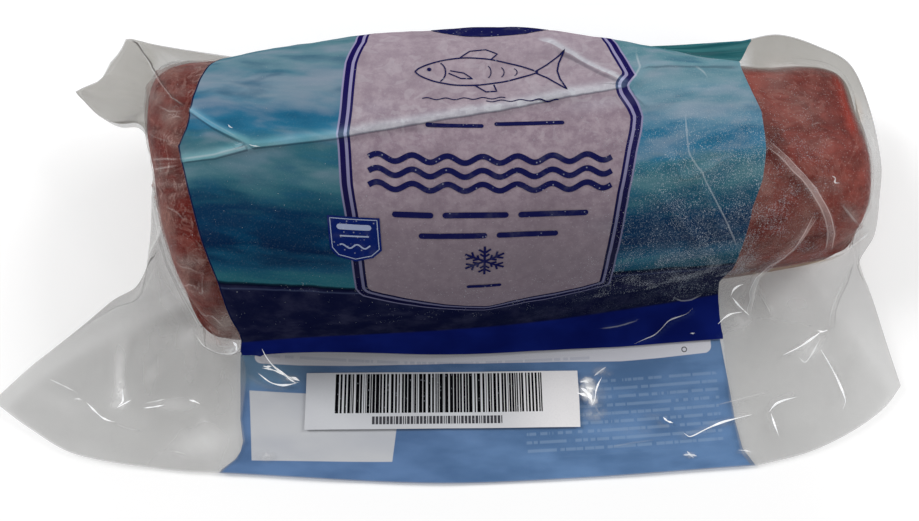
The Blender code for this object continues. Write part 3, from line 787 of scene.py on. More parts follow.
# lower border of the pale strip on the back print
STRIP = (
    (-104.0, 49.8), (-94.0, 49.8), (-73.7, 49.9), (-50.0, 51.0), (-28.0, 52.5), (-4.5, 53.5), (19.0, 53.2), (46.0, 52.4), (74.7, 51.1),
    (93.0, 51.3), (117.0, 52.2), (133.0, 52.2),
)


def line_at(table, value):
    return np.interp(value, [row[0] for row in table], [row[1] for row in table])


def print_fields(made, grid, flat, left, right):
    """Stores what the print's material reads."""
    x, s = grid[..., 0], flat
    edge = np.minimum(x - line_at(left, s), line_at(right, s) - x)
    add_field(made, "px", with_spine(x))
    add_field(made, "ps", with_spine(s))
    add_field(made, "edge", with_spine(edge))


# ==================================================================================
# Materials
# ==================================================================================
def srgb(r, g, b):
    return tuple(c / 255 / 12.92 if c <= 10 else ((c / 255 + 0.055) / 1.055) ** 2.4 for c in (r, g, b)) + (1.0,)


class Graph:
    """A short way to write a material's nodes."""

    def __init__(self, name):
        self.material = bpy.data.materials.new(name)
        self.material.use_nodes = True
        self.tree = self.material.node_tree
        self.shader = self.tree.nodes["Principled BSDF"]

    def node(self, kind, **settings):
        made = self.tree.nodes.new(kind)
        for key, value in settings.items():
            setattr(made, key, value)
        return made

    def put(self, value, socket):
        if isinstance(value, bpy.types.NodeSocket):
            self.tree.links.new(value, socket)
        else:
            socket.default_value = value

    def attr(self, name):
        return self.node("ShaderNodeAttribute", attribute_name=name, attribute_type="GEOMETRY").outputs["Fac"]

    def math(self, operation, a, b=0.0, clamp=False):
        made = self.node("ShaderNodeMath", operation=operation, use_clamp=clamp)
        self.put(a, made.inputs[0])
        self.put(b, made.inputs[1])
        return made.outputs[0]

    def add(self, a, b):
        return self.math("ADD", a, b)

    def sub(self, a, b):
        return self.math("SUBTRACT", a, b)

    def mul(self, a, b):
        return self.math("MULTIPLY", a, b)

    def most(self, a, b):
        return self.math("MAXIMUM", a, b)

    def least(self, a, b):
        return self.math("MINIMUM", a, b)

    def rise(self, x, low, high, to_low=0.0, to_high=1.0):
        made = self.node("ShaderNodeMapRange", interpolation_type="SMOOTHSTEP", clamp=True)
        for value, socket in ((x, 0), (low, 1), (high, 2), (to_low, 3), (to_high, 4)):
            self.put(value, made.inputs[socket])
        return made.outputs[0]

    def between(self, x, low, high, soft):
        return self.mul(self.rise(x, low - soft, low + soft), self.rise(x, high - soft, high + soft, 1.0, 0.0))

    def mix(self, share, a, b):
        made = self.node("ShaderNodeMix", data_type="RGBA")
        self.put(share, made.inputs[0])
        self.put(a, made.inputs[6])
        self.put(b, made.inputs[7])
        return made.outputs[2]

    def blend(self, share, a, b):
        made = self.node("ShaderNodeMix", data_type="FLOAT")
        self.put(share, made.inputs[0])
        self.put(a, made.inputs[2])
        self.put(b, made.inputs[3])
        return made.outputs[0]

    def ramp(self, x, low, high, stops):
        share = self.node("ShaderNodeMapRange", clamp=True)
        for value, socket in ((x, 0), (low, 1), (high, 2), (0.0, 3), (1.0, 4)):
            self.put(value, share.inputs[socket])
        made = self.node("ShaderNodeValToRGB")
        self.put(share.outputs[0], made.inputs[0])
        marks = made.color_ramp.elements
        while len(marks) > 1:
            marks.remove(marks[-1])
        for number, (at, colour) in enumerate(stops):
            mark = marks[0] if number == 0 else marks.new((at - low) / (high - low))
            mark.position = (at - low) / (high - low)
            mark.color = colour
        return made.outputs[0]

    def vec(self, x, y, z=0.0):
        made = self.node("ShaderNodeCombineXYZ")
        for value, socket in ((x, 0), (y, 1), (z, 2)):
            self.put(value, made.inputs[socket])
        return made.outputs[0]

    def scaled(self, vector, x, y, z):
        made = self.node("ShaderNodeVectorMath", operation="MULTIPLY")
        self.put(vector, made.inputs[0])
        made.inputs[1].default_value = (x, y, z)
        return made.outputs[0]

    def where(self):
        """The point on the object, in metres."""
        return self.node("ShaderNodeTexCoord").outputs["Object"]

    def noise(self, vector, scale, detail=2.0, rough=0.5, distortion=0.0):
        made = self.node("ShaderNodeTexNoise")
        for value, name in ((vector, "Vector"), (scale, "Scale"), (detail, "Detail"), (rough, "Roughness"), (distortion, "Distortion")):
            self.put(value, made.inputs[name])
        return made.outputs[0]

    def cells(self, vector, scale, feature="F1", output="Distance"):
        made = self.node("ShaderNodeTexVoronoi", feature=feature)
        self.put(vector, made.inputs["Vector"])
        self.put(scale, made.inputs["Scale"])
        return made.outputs[output]

    def bump(self, height, strength, distance, under=None):
        made = self.node("ShaderNodeBump")
        made.inputs["Strength"].default_value = strength
        made.inputs["Distance"].default_value = distance
        self.put(height, made.inputs["Height"])
        if under is not None:
            self.put(under, made.inputs["Normal"])
        return made.outputs[0]

    def rounded(self, x, y, left, right, low, high, radius):
        """Signed distance outside a rounded rectangle, negative inside."""
        dx = self.sub(self.math("ABSOLUTE", self.sub(x, (left + right) / 2)), (right - left) / 2 - radius)
        dy = self.sub(self.math("ABSOLUTE", self.sub(y, (low + high) / 2)), (high - low) / 2 - radius)
        ox, oy = self.most(dx, 0.0), self.most(dy, 0.0)
        outer = self.math("SQRT", self.add(self.mul(ox, ox), self.mul(oy, oy)))
        return self.sub(self.add(outer, self.least(self.most(dx, dy), 0.0)), radius)

    def finish(self, **values):
        for name, value in values.items():
            self.put(value, self.shader.inputs[name.replace("_", " ")])
        return self.material


def specks(g, where, scale, size, share):
    """Scattered small dots: a share of the cells holds one."""
    near = g.cells(where, scale)
    colour = g.cells(where, scale, output="Color")
    chance = g.node("ShaderNodeSeparateColor")
    g.put(colour, chance.inputs[0])
    chosen = g.rise(chance.outputs[0], 1 - share, 1 - share + 0.02)
    return g.mul(g.rise(near, size, size * 0.45), chosen)


NAVY = srgb(30, 30, 84)


def upper_film_material(name, gloss, ior):
    g = Graph(name)
    px, ps, edge = g.attr("px"), g.attr("ps"), g.attr("edge")
    panel, fold_whitening_and_highlight, tight, frost = g.attr("panel"), g.attr("fold_whitening_and_highlight"), g.attr("tight"), g.attr("frost")
    above = g.attr("above")  # length above the line where the film leaves the meat
    seal, tent, ear, milk = g.attr("seal"), g.attr("tent"), g.attr("ear"), g.attr("milk")
    crease_shade = g.mul(g.attr("crease_k"), g.rise(g.math("ABSOLUTE", g.attr("crease")), 1.0, 0.25))
    shine = g.mul(g.attr("shine_k"), g.rise(g.math("ABSOLUTE", g.attr("shine")), 1.0, 0.2))
    across = g.math("ABSOLUTE", g.attr("pleat"))
    pleat = g.mul(g.attr("pleat_k"), g.add(g.mul(g.rise(across, 1.05, 0.95), 0.42), g.mul(g.between(across, 0.70, 1.02, 0.12), 0.75)))
    bevel = 0.0
    for name in ("bevel_a", "bevel_b", "bevel_c"):
        slope = g.attr(name)
        bevel = g.most(bevel, g.mul(g.attr(name + "_k"), g.mul(g.math("POWER", g.rise(slope, -1.15, 0.0), 1.5), g.rise(slope, 0.12, 0.02))))
    where = g.where()
    flat = g.vec(g.mul(px, 0.01), g.mul(ps, 0.01))

    # sea: soft level streaks and pale reflected clouds
    long = g.noise(g.scaled(flat, 1.1, 6.0, 1.0), 1.6, 3.0, 0.5, 0.4)
    short = g.noise(g.scaled(flat, 2.2, 9.0, 1.0), 2.0, 3.0, 0.55, 0.5)
    clouds = g.noise(g.scaled(flat, 1.7, 4.6, 1.0), 2.6, 2.5, 0.5, 0.25)
    level = g.add(ps, g.mul(g.sub(long, 0.5), 18.0))
    level = g.add(level, g.mul(g.sub(short, 0.5), 15.0))
    level = g.add(level, g.mul(g.mul(g.rise(px, 10.0, 90.0), g.rise(ps, 150.0, 176.0)), 11.0))
    sea = g.ramp(
        level,
        100.0,
        250.0,
        [
            (100.0, srgb(34, 84, 98)),
            (119.0, srgb(42, 92, 104)),
            (127.0, srgb(20, 68, 94)),
            (134.0, srgb(3, 30, 62)),
            (146.0, srgb(6, 44, 74)),
            (152.0, srgb(24, 68, 88)),
            (158.0, srgb(50, 92, 104)),
            (165.0, srgb(70, 104, 114)),
            (172.0, srgb(52, 96, 108)),
            (180.0, srgb(34, 98, 128)),
            (188.0, srgb(36, 96, 126)),
            (194.0, srgb(86, 118, 138)),
            (200.0, srgb(118, 132, 146)),
            (206.0, srgb(78, 114, 130)),
            (213.0, srgb(98, 124, 136)),
            (250.0, srgb(50, 102, 108)),
        ],
    )
    pale = g.mul(g.rise(clouds, 0.44, 0.72), g.rise(ps, 150.0, 180.0))
    sea = g.mix(g.mul(pale, 0.55), sea, srgb(136, 138, 152))
    murk = g.mul(g.rise(clouds, 0.50, 0.30), g.rise(ps, 116.0, 140.0))
    sea = g.mix(g.mul(murk, 0.45), sea, srgb(8, 66, 96))
    sea = g.mix(g.rise(px, 58.0, 68.0), g.scaled(sea, 1.06, 1.20, 1.22), g.scaled(sea, 1.24, 1.42, 1.42))
    speck_grain = g.noise(where, 1500.0, 2.0, 0.7)
    sea = g.mix(g.mul(g.rise(speck_grain, 0.52, 0.72), g.rise(px, -60.0, 110.0, 0.06, 0.26)), sea, srgb(170, 186, 192))
    film_over = g.mix(g.rise(long, 0.35, 0.65), srgb(24, 76, 82), srgb(54, 112, 116))
    sea = g.mix(g.mul(g.mul(g.rise(px, 40.0, 70.0), g.rise(ps, 127.0, 118.0)), 0.65), sea, srgb(16, 40, 70))
    sea = g.mix(g.mul(tent, 0.85), sea, film_over)

    # horizon line and the navy field under it
    wander = g.mul(g.sub(g.noise(g.scaled(flat, 2.0, 0.2, 1.0), 3.0, 2.0), 0.5), 2.4)
    horizon = g.add(g.add(116.6, wander), g.mul(g.rise(px, 40.0, 116.0), -3.5))
    horizon = g.add(horizon, g.mul(g.mul(g.rise(px, 32.0, 60.0), g.rise(px, 114.0, 84.0)), 3.0))
    over = g.sub(ps, horizon)
    navy = g.mix(g.rise(g.noise(flat, 9.0, 4.0, 0.6), 0.40, 0.75), srgb(17, 21, 52), srgb(42, 44, 70))
    royal = g.mix(g.rise(g.noise(flat, 4.0, 3.0, 0.5), 0.3, 0.7), srgb(15, 26, 96), srgb(21, 36, 118))
    navy = g.mix(g.rise(above, -1.2, 1.2), royal, navy)
    band = g.mix(g.rise(over, -0.5, 0.5), navy, sea)
    band = g.mix(g.mul(g.between(over, -2.9, -2.1, 0.4), 0.42), band, srgb(78, 88, 122))
    band = g.mix(g.mul(g.between(over, -0.8, 0.9, 0.5), 0.85), band, srgb(6, 10, 34))
    rim_line = g.mul(g.between(edge, -0.5, 0.65, 0.15), g.rise(px, 0.0, -10.0))
    band = g.mix(g.mul(rim_line, g.rise(above, 0.0, 2.0)), band, srgb(10, 18, 58))

    # panel with its double outline
    blotch = g.noise(flat, 22.0, 4.0, 0.72)
    fill = g.mix(g.rise(blotch, 0.34, 0.68), srgb(144, 126, 139), srgb(168, 152, 162))
    patch = g.noise(g.scaled(flat, 1.0, 1.3, 1.0), 8.0, 2.0, 0.5, 1.6)
    fill = g.mix(g.mul(g.rise(patch, 0.58, 0.61), g.mul(g.rise(ps, 160.0, 195.0), 0.30)), fill, srgb(188, 180, 187))
    fill = g.mix(g.mul(g.rise(ps, 186.0, 206.0), 0.28), fill, srgb(184, 172, 182))
    low = g.noise(flat, 5.0, 3.0, 0.5)
    fill = g.mix(g.mul(g.rise(low, 0.52, 0.30), 0.35), fill, srgb(124, 108, 120))
    # painted shade: the fill darker towards the front rim, where the loin's side turns from the light
    fill = g.mix(g.mul(g.rise(ps, 180.0, 128.0), 0.70), fill, srgb(118, 108, 117))
    flecks = g.noise(g.scaled(flat, 1.0, 1.0, 1.0), 90.0, 3.0, 0.7)
    fill = g.mix(g.mul(g.rise(flecks, 0.58, 0.70), 0.35), fill, srgb(184, 176, 184))
    # painted shade: the outlines darker towards the front rim as well
    dim = g.rise(ps, 130.0, 200.0)
    pale_line = g.mix(dim, srgb(104, 104, 134), srgb(152, 146, 182))
    dark_line = g.mix(dim, srgb(16, 16, 52), srgb(26, 18, 82))
    band = g.mix(g.rise(panel, -0.85, -0.60), band, pale_line)
    band = g.mix(g.rise(panel, -0.12, 0.08), band, dark_line)
    band = g.mix(g.rise(panel, 1.95, 2.15), band, pale_line)
    band = g.mix(g.rise(panel, 3.15, 3.32), band, dark_line)
    band = g.mix(g.rise(panel, 4.18, 4.36), band, fill)

    # painted light and shade: lighter and darker areas; a raised fold catches light, a crease loses it
    lit, unlit = g.most(g.attr("shade"), 0.0), g.most(g.mul(g.attr("shade"), -1.0), 0.0)
    band = g.mix(g.mul(lit, 0.7), band, g.mix(0.3, g.scaled(band, 1.35, 1.45, 1.45), srgb(196, 200, 210)))
    band = g.mix(unlit, band, g.scaled(band, 0.40, 0.62, 0.72))
    light = g.mix(0.20, g.scaled(band, 1.6, 1.75, 1.7), srgb(176, 214, 214))
    band = g.mix(g.math("ADD", g.mul(fold_whitening_and_highlight, 0.35), bevel, clamp=True), band, light)
    band = g.mix(crease_shade, band, g.scaled(band, 0.16, 0.18, 0.24))

    # frost between the film and the meat
    grain = g.noise(where, 1700.0, 2.0, 0.7)
    dust = g.noise(where, 90.0, 3.0, 0.65)
    dots = g.most(specks(g, where, 1300.0, 0.36, 0.34), specks(g, where, 2100.0, 0.40, 0.36))
    rime = g.mul(frost, g.rise(dust, 0.36, 0.72))
    band = g.mix(g.mul(rime, g.add(0.04, g.mul(g.rise(grain, 0.50, 0.72), 0.30))), band, srgb(140, 158, 170))
    clumps = g.rise(g.noise(where, 110.0, 3.0, 0.6, 0.5), 0.40, 0.62, 0.25, 0.85)
    band = g.mix(g.mul(dots, g.mul(g.rise(frost, 0.1, 1.0), clumps)), band, srgb(196, 206, 214))
    # painted highlights along the thin bright lines
    band = g.mix(g.mul(shine, 0.85), band, srgb(226, 230, 234))

    # clear film: nearly bare on the meat and over the back print, milky where it is loose
    haze = g.noise(where, 26.0, 3.0, 0.6)
    bare = g.mix(g.rise(haze, 0.35, 0.7), (0.35, 0.348, 0.34, 1.0), (0.45, 0.448, 0.44, 1.0))
    fringe = g.attr("fringe")
    # painted light and shade on the clear film and over the meat
    bare = g.mix(g.mul(lit, 1.1), bare, (0.92, 0.92, 0.92, 1.0))
    bare = g.mix(g.mul(ear, 0.9), bare, (0.30, 0.286, 0.255, 1.0))
    bare = g.mix(g.mul(fringe, 0.9), bare, (0.46, 0.33, 0.21, 1.0))
    bare = g.mix(g.math("MULTIPLY", g.mul(tight, unlit), 1.6, clamp=True), bare, (0.11, 0.018, 0.012, 1.0))
    bare = g.mix(g.mul(tight, 0.8), bare, (0.40, 0.22, 0.19, 1.0))
    bare = g.mix(g.math("MULTIPLY", milk, 1.4, clamp=True), bare, (0.52, 0.45, 0.42, 1.0))
    # the clear film whiter along the folds, partly doubled film and partly painted highlight, and along pleat edges and
    # thin bright lines, painted highlights
    glow = g.math("ADD", g.math("ADD", g.mul(fold_whitening_and_highlight, 0.6), pleat, clamp=True), shine, clamp=True)
    bare = g.mix(glow, bare, g.mix(g.mul(tight, g.sub(1.0, shine)), (0.86, 0.86, 0.86, 1.0), (0.66, 0.52, 0.50, 1.0)))
    bare = g.mix(g.rise(seal, 0.9, 0.2), bare, (0.62, 0.62, 0.62, 1.0))
    # painted shade: the clear film nearly black in the creases
    bare = g.mix(crease_shade, bare, (0.07, 0.06, 0.06, 1.0))
    body = g.add(g.mul(g.rise(edge, -75.0, -5.0), 0.13), g.rise(px, -100.0, -125.0, 0.0, 0.095))
    loose_alpha = g.add(g.add(0.255, g.add(g.mul(ear, 0.33), body)), g.mul(g.sub(haze, 0.5), 0.16))
    loose_alpha = g.add(loose_alpha, g.mul(unlit, 0.14))
    window = g.mul(g.rise(edge, -0.6, 0.6), g.rise(ps, 66.0, 60.0))
    loose_alpha = g.blend(window, loose_alpha, 0.06)
    tight_alpha = g.add(g.mul(rime, 0.16), g.add(0.015, g.mul(dots, 0.25)))
    tight_alpha = g.add(tight_alpha, g.mul(milk, g.rise(haze, 0.25, 0.65, 0.25, 0.65)))
    # fine cling wrinkles in patches, more of them at the left end
    cling = g.rise(g.math("ABSOLUTE", g.sub(g.noise(g.scaled(where, 1.0, 0.6, 1.0), 120.0, 3.0, 0.55, 1.4), 0.5)), 0.030, 0.004)
    cling = g.mul(cling, g.rise(g.noise(where, 34.0, 2.0, 0.5), 0.44, 0.62))
    cling = g.mul(cling, g.rise(px, 60.0, -90.0, 0.14, 0.30))
    fog = g.mul(g.rise(g.noise(where, 58.0, 3.0, 0.6, 0.6), 0.48, 0.70), g.rise(px, -70.0, -92.0, 0.04, 0.12))
    tight_alpha = g.add(tight_alpha, g.add(g.add(cling, fog), g.mul(unlit, 0.62)))
    shiny = g.mul(g.attr("glare"), g.rise(g.noise(where, 230.0, 2.0, 0.7), 0.30, 0.62, 0.40, 1.0))
    clear_alpha = g.blend(tight, loose_alpha, tight_alpha)
    clear_alpha = g.math("ADD", clear_alpha, g.add(g.mul(glow, 0.62), g.mul(crease_shade, 0.45)), clamp=True)
    clear_alpha = g.most(clear_alpha, g.mul(g.rise(seal, 0.9, 0.2), 0.40))
    clear_alpha = g.most(clear_alpha, g.mul(fringe, 0.62))
    bare = g.mix(g.math("MULTIPLY", shiny, 2.0, clamp=True), bare, (0.95, 0.95, 0.95, 1.0))
    clear_alpha = g.most(clear_alpha, shiny)

    wander = g.mul(g.sub(long, 0.5), 1.2)
    printed = g.mul(g.rise(edge, -0.12, 0.12), g.rise(ps, g.add(57.4, wander), g.add(57.8, wander)))
    colour = g.mix(printed, bare, band)
    alpha = g.blend(printed, clear_alpha, 1.0)
    rough = g.blend(tight, 0.09, 0.34)
    rough = g.add(rough, g.mul(rime, 0.18))
    fine = g.bump(g.noise(where, 700.0, 1.0, 0.6), 0.35, 0.00008)
    crinkle = g.bump(g.noise(where, 90.0, 2.0, 0.5, 0.4), 0.10, 0.0004, fine)
    g.shader.inputs["IOR"].default_value = ior
    g.shader.inputs["Specular IOR Level"].default_value = gloss
    return g.finish(Base_Color=colour, Alpha=alpha, Roughness=rough, Normal=crinkle)


def lower_film_material():
    g = Graph("lower_film")
    px, ps, edge, seal = g.attr("px"), g.attr("ps"), g.attr("edge"), g.attr("seal")
    where = g.where()
    flat = g.vec(g.mul(px, 0.01), g.mul(ps, 0.01))
    soft = g.noise(g.scaled(flat, 1.0, 2.6, 1.0), 3.0, 3.0, 0.5)
    blue = g.mix(g.rise(soft, 0.3, 0.7), srgb(72, 108, 154), srgb(98, 134, 182))
    # greeked rows: plain dashes in lines
    row = g.math("FRACT", g.mul(ps, 1 / 3.7))
    which = g.math("FLOOR", g.mul(ps, 1 / 3.7))
    words = g.noise(g.vec(g.mul(px, 0.42), g.mul(which, 5.3)), 1.0, 1.0, 0.5)
    rows = g.mul(g.between(row, 0.30, 0.66, 0.08), g.rise(words, 0.40, 0.44))
    area_right = g.rise(g.rounded(px, ps, 30.0, 118.0, 10.0, 44.0, 3.0), 0.6, -0.6)
    area_under = g.rise(g.rounded(px, ps, -80.0, 108.0, 66.0, 170.0, 3.0), 0.6, -0.6)
    blue = g.mix(g.rise(px, -30.0, 50.0), blue, g.scaled(blue, 1.20, 1.20, 1.15))
    blue = g.mix(g.mul(g.mul(g.rise(px, -55.0, -85.0), g.rise(ps, 34.0, 44.0)), 0.55), blue, srgb(124, 164, 190))
    blue = g.mix(g.mul(g.mul(rows, area_right), 0.34), blue, srgb(158, 184, 214))
    blue = g.mix(g.mul(g.mul(rows, area_under), 0.75), blue, srgb(206, 216, 232))
    white = g.mix(g.rise(soft, 0.3, 0.7), srgb(196, 199, 206), srgb(208, 210, 214))
    strip = g.rise(g.rounded(px, g.attr("strip"), -94.4, 116.6, 0.0, 9.0, 3.2), 0.2, -0.2)
    box = g.mul(
        g.mul(g.rise(g.add(px, g.mul(ps, 0.113)), -91.7, -91.3), g.rise(g.sub(px, g.mul(ps, 0.107)), -30.6, -31.0)),
        g.mul(g.rise(g.sub(ps, g.mul(px, 0.0433)), 10.1, 10.5), g.rise(ps, 37.4, 37.0)),
    )
    ring = g.math("ABSOLUTE", g.rounded(px, ps, 102.9, 105.1, 53.3, 55.5, 1.09))
    ring = g.rise(ring, 0.32, 0.14)
    faint = g.mul(g.mul(rows, g.rise(g.rounded(px, ps, -90.0, 60.0, 52.4, 56.2, 1.0), 0.3, -0.3)), 0.25)
    blue = g.mix(strip, blue, g.mix(faint, srgb(232, 233, 242), srgb(140, 154, 184)))
    blue = g.mix(box, blue, white)
    blue = g.mix(ring, blue, srgb(84, 88, 96))
    haze = g.noise(where, 30.0, 3.0, 0.6)
    bare = g.mix(g.rise(haze, 0.35, 0.7), (0.36, 0.36, 0.355, 1.0), (0.46, 0.46, 0.45, 1.0))
    printed = g.rise(edge, -0.12, 0.12)
    clear_alpha = g.add(0.26, g.mul(g.sub(haze, 0.5), 0.12))
    colour = g.mix(printed, bare, blue)
    alpha = g.blend(printed, clear_alpha, 1.0)
    crinkle = g.bump(g.noise(where, 80.0, 3.0, 0.5, 0.4), 0.12, 0.0004)
    g.shader.inputs["IOR"].default_value = 1.45
    g.shader.inputs["Specular IOR Level"].default_value = 0.15
    g.shader.inputs["Roughness"].default_value = 0.25
    return g.finish(Base_Color=colour, Alpha=alpha, Normal=crinkle)


def meat_material():
    g = Graph("frozen_tuna")
    where = g.where()
    pale = g.attr("pale")
    fibre = g.noise(g.scaled(where, 0.35, 1.0, 1.0), 150.0, 4.0, 0.62, 0.6)
    cloud = g.noise(where, 42.0, 5.0, 0.6, 0.5)
    rime = g.noise(where, 75.0, 5.0, 0.7, 0.3)
    red = g.mix(g.rise(fibre, 0.32, 0.70), srgb(74, 15, 13), srgb(108, 33, 28))
    brown = g.mix(g.rise(fibre, 0.32, 0.70), srgb(122, 52, 45), srgb(152, 78, 69))
    colour = g.mix(g.math("MULTIPLY", pale, g.rise(cloud, 0.2, 0.75), clamp=True), red, brown)
    colour = g.mix(g.mul(g.rise(rime, 0.50, 0.72), 0.24), colour, srgb(172, 118, 108))
    veins = g.rise(g.math("ABSOLUTE", g.sub(g.noise(where, 34.0, 4.0, 0.6, 1.2), 0.5)), 0.028, 0.006)
    colour = g.mix(g.mul(veins, 0.18), colour, srgb(176, 130, 120))
    colour = g.mix(g.mul(g.rise(cloud, 0.46, 0.30), g.blend(pale, 0.85, 0.5)), colour, srgb(78, 24, 20))
    streak = g.attr("streak")
    colour = g.mix(g.mul(streak, 0.75), colour, srgb(160, 50, 36))
    dots = specks(g, where, 1300.0, 0.36, 0.22)
    colour = g.mix(g.mul(dots, g.mul(pale, 0.4)), colour, srgb(214, 198, 194))
    bump = g.bump(g.noise(where, 260.0, 3.0, 0.65), 0.5, 0.0005)
    bump = g.bump(fibre, 0.35, 0.0010, bump)
    rough = g.rise(rime, 0.3, 0.8, 0.34, 0.62)
    g.shader.inputs["Specular IOR Level"].default_value = 0.05
    g.shader.inputs["Subsurface Weight"].default_value = 0.08
    g.shader.inputs["Subsurface Radius"].default_value = (0.006, 0.002, 0.0015)
    g.shader.inputs["Subsurface Scale"].default_value = 0.5
    return g.finish(Base_Color=colour, Roughness=rough, Normal=bump)


def ink_material(name, colour, wear=0.3):
    g = Graph(name)
    where = g.where()
    blotch = g.noise(where, 160.0, 5.0, 0.65)
    lighter = tuple(c * 0.72 + 0.10 for c in colour[:3]) + (1.0,)
    tint = g.mix(g.mul(g.rise(blotch, 0.48, 0.74), wear), colour, lighter)
    tint = g.mix(g.mul(specks(g, where, 800.0, 0.30, 0.20), 0.4), tint, srgb(196, 200, 212))
    bump = g.bump(g.noise(where, 500.0, 3.0, 0.6), 0.3, 0.0001)
    g.shader.inputs["Roughness"].default_value = 0.36
    g.shader.inputs["Specular IOR Level"].default_value = 0.0
    return g.finish(Base_Color=tint, Normal=bump)


def paper_material():
    g = Graph("label_paper")
    where = g.where()
    grain = g.noise(where, 1400.0, 4.0, 0.7)
    tone = g.noise(where, 26.0, 3.0, 0.5)
    colour = g.mix(g.rise(tone, 0.3, 0.7), srgb(206, 208, 213), srgb(216, 218, 222))
    # painted light: the paper lighter towards its right end
    colour = g.mix(g.attr("light"), colour, srgb(250, 248, 249))
    colour = g.mix(g.mul(g.rise(grain, 0.4, 0.7), 0.10), colour, srgb(180, 182, 188))
    bump = g.bump(grain, 0.25, 0.00005)
    g.shader.inputs["Roughness"].default_value = 0.5
    return g.finish(Base_Color=colour, Normal=bump)


def floor_material():
    g = Graph("studio_floor")
    tone = g.noise(g.where(), 3.0, 2.0, 0.5)
    g.shader.inputs["Roughness"].default_value = 0.9
    g.shader.inputs["Specular IOR Level"].default_value = 0.2
    g.shader.inputs["Emission Color"].default_value = (1.0, 1.0, 1.0, 1.0)
    g.shader.inputs["Emission Strength"].default_value = 0.22
    split = g.node("ShaderNodeSeparateXYZ")
    g.put(g.where(), split.inputs[0])
    side = g.rise(g.math("ABSOLUTE", split.outputs[0]), 0.14, 0.24)
    near = g.mix(g.rise(tone, 0.3, 0.7), (0.89, 0.89, 0.89, 1.0), (0.91, 0.91, 0.91, 1.0))
    return g.finish(Base_Color=g.mix(side, near, (1.0, 1.0, 1.0, 1.0)))


# ==================================================================================
# Pieces
# ==================================================================================
def keep(made, *nodes, slot=None):
    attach(made, "root")
    if nodes:
        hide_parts(*nodes)
    return made


rings = RINGS_IN + RINGS_OUT + 1
upper = new_object("film_upper", with_spine(film_up), grid_faces(rings))
print_fields(upper, TOP, FLAT, PRINT_LEFT, PRINT_RIGHT)
add_field(upper, "panel", with_spine(polygon_distance(TOP[..., 0], FLAT, PANEL)))
add_field(upper, "fold_whitening_and_highlight", with_spine(np.clip(FOLD_WHITENING_AND_HIGHLIGHT, 0, 1)))
on_meat = (1 - smoothstep(0.0, 0.022, OUT_SHARE)) * (1 - smoothstep(0.15, 0.9, LIFTED))
# along the far edge of the narrow end the film stands off the meat
toward = ((EYE - TOP) * TOP_NORMAL).sum(-1) / np.linalg.norm(EYE - TOP, axis=-1)
stand_off = smoothstep(0.46, 0.26, toward) * smoothstep(-0.30, -0.10, toward)
stand_off *= smoothstep(98.0, 112.0, TOP[..., 0]) * smoothstep(20.0, 40.0, TOP[..., 1])
on_meat *= 1 - stand_off
add_field(upper, "tent", with_spine(smoothstep(0.3, 2.0, LIFTED)))
at = seen_at(TOP)
beyond = RUN - RUN[:, RINGS_IN : RINGS_IN + 1]
left_ear = smoothstep(172, 150, at[..., 0]) * smoothstep(165, 130, at[..., 1]) * smoothstep(2.0, 12.0, beyond)
right_ear = smoothstep(735, 758, at[..., 0]) * smoothstep(150, 85, at[..., 1])
any_ear = np.maximum(np.maximum(smoothstep(55.0, 90.0, TOP[..., 1]), left_ear), right_ear)
add_field(upper, "ear", with_spine((any_ear + 0.12 * left_ear + 0.2 * right_ear) * (1 - on_meat)))
shade = np.zeros_like(RISE)
for spot, half, turn, value in SHADES:
    gap, a = at - spot, math.radians(turn)
    u = (gap[..., 0] * math.cos(a) + gap[..., 1] * math.sin(a)) / half[0]
    v = (gap[..., 1] * math.cos(a) - gap[..., 0] * math.sin(a)) / half[1]
    shade += value * np.exp(-(u * u + v * v))
add_field(upper, "shade", with_spine(np.clip(shade, -1, 1)))
fringe = smoothstep(9.0, 2.0, beyond) * smoothstep(-0.5, 0.5, beyond) * smoothstep(118.0, 136.0, TOP[..., 0]) * (1 - on_meat)
fringe = np.maximum(fringe, smoothstep(0.15, 0.9, LIFTED) * smoothstep(150.0, 168.0, TOP[..., 0]) * smoothstep(12.0, 4.0, beyond))
fringe *= smoothstep(90, 120, at[..., 1])
add_field(upper, "fringe", with_spine(fringe))
milk = np.zeros_like(RISE)
for spot, width, strength in MILK:
    milk = np.maximum(milk, strength * np.exp(-(((seen_at(TOP) - spot) ** 2).sum(-1)) / width**2))
add_field(upper, "milk", with_spine(milk))
glare = np.zeros_like(RISE)
for spot, width, tall, strength in GLARE:
    glare = np.maximum(glare, strength * np.exp(-((((seen_at(TOP) - spot) / (width, tall)) ** 2).sum(-1))))
add_field(upper, "glare", with_spine(glare))
WEAK = [row for row in SHINES if row[2] < 0.45]
for name, table, reach in (("crease", CREASE_SHADES, 6.5), ("shine", WEAK, 6.5), ("pleat", PLEATS, 6.5), ("bevel_a", BEVELS[:1], 14.0), ("bevel_b", BEVELS[1:2], 14.0), ("bevel_c", BEVELS[2:], 14.0)):
    gap, strength = strokes(TOP, TOP_NORMAL, table, reach)
    add_field(upper, name, with_spine(gap))
    add_field(upper, name + "_k", with_spine(strength))
add_field(upper, "tight", with_spine(on_meat))
add_field(upper, "above", with_spine(FLAT - line_at(CONTACT, TOP[..., 0])))
rim_gap = RUN[:, -1:] - RUN
add_field(upper, "seal", with_spine(rim_gap))
seen = seen_at(TOP)
rime_right = smoothstep(600, 690, seen[..., 0]) * smoothstep(70, 160, seen[..., 1]) * smoothstep(850, 800, seen[..., 0])
rime_low = smoothstep(272, 300, seen[..., 1]) * smoothstep(400, 660, seen[..., 0]) * 0.40
over_meat = smoothstep(-0.5, 2.5, FLAT - line_at(CONTACT, TOP[..., 0]))
add_field(upper, "frost", with_spine(np.clip(np.maximum(np.maximum(rime_right, rime_low), 0.10), 0, 1) * over_meat))
upper.data.materials.append(upper_film_material("printed_film", 0.04, 1.45))
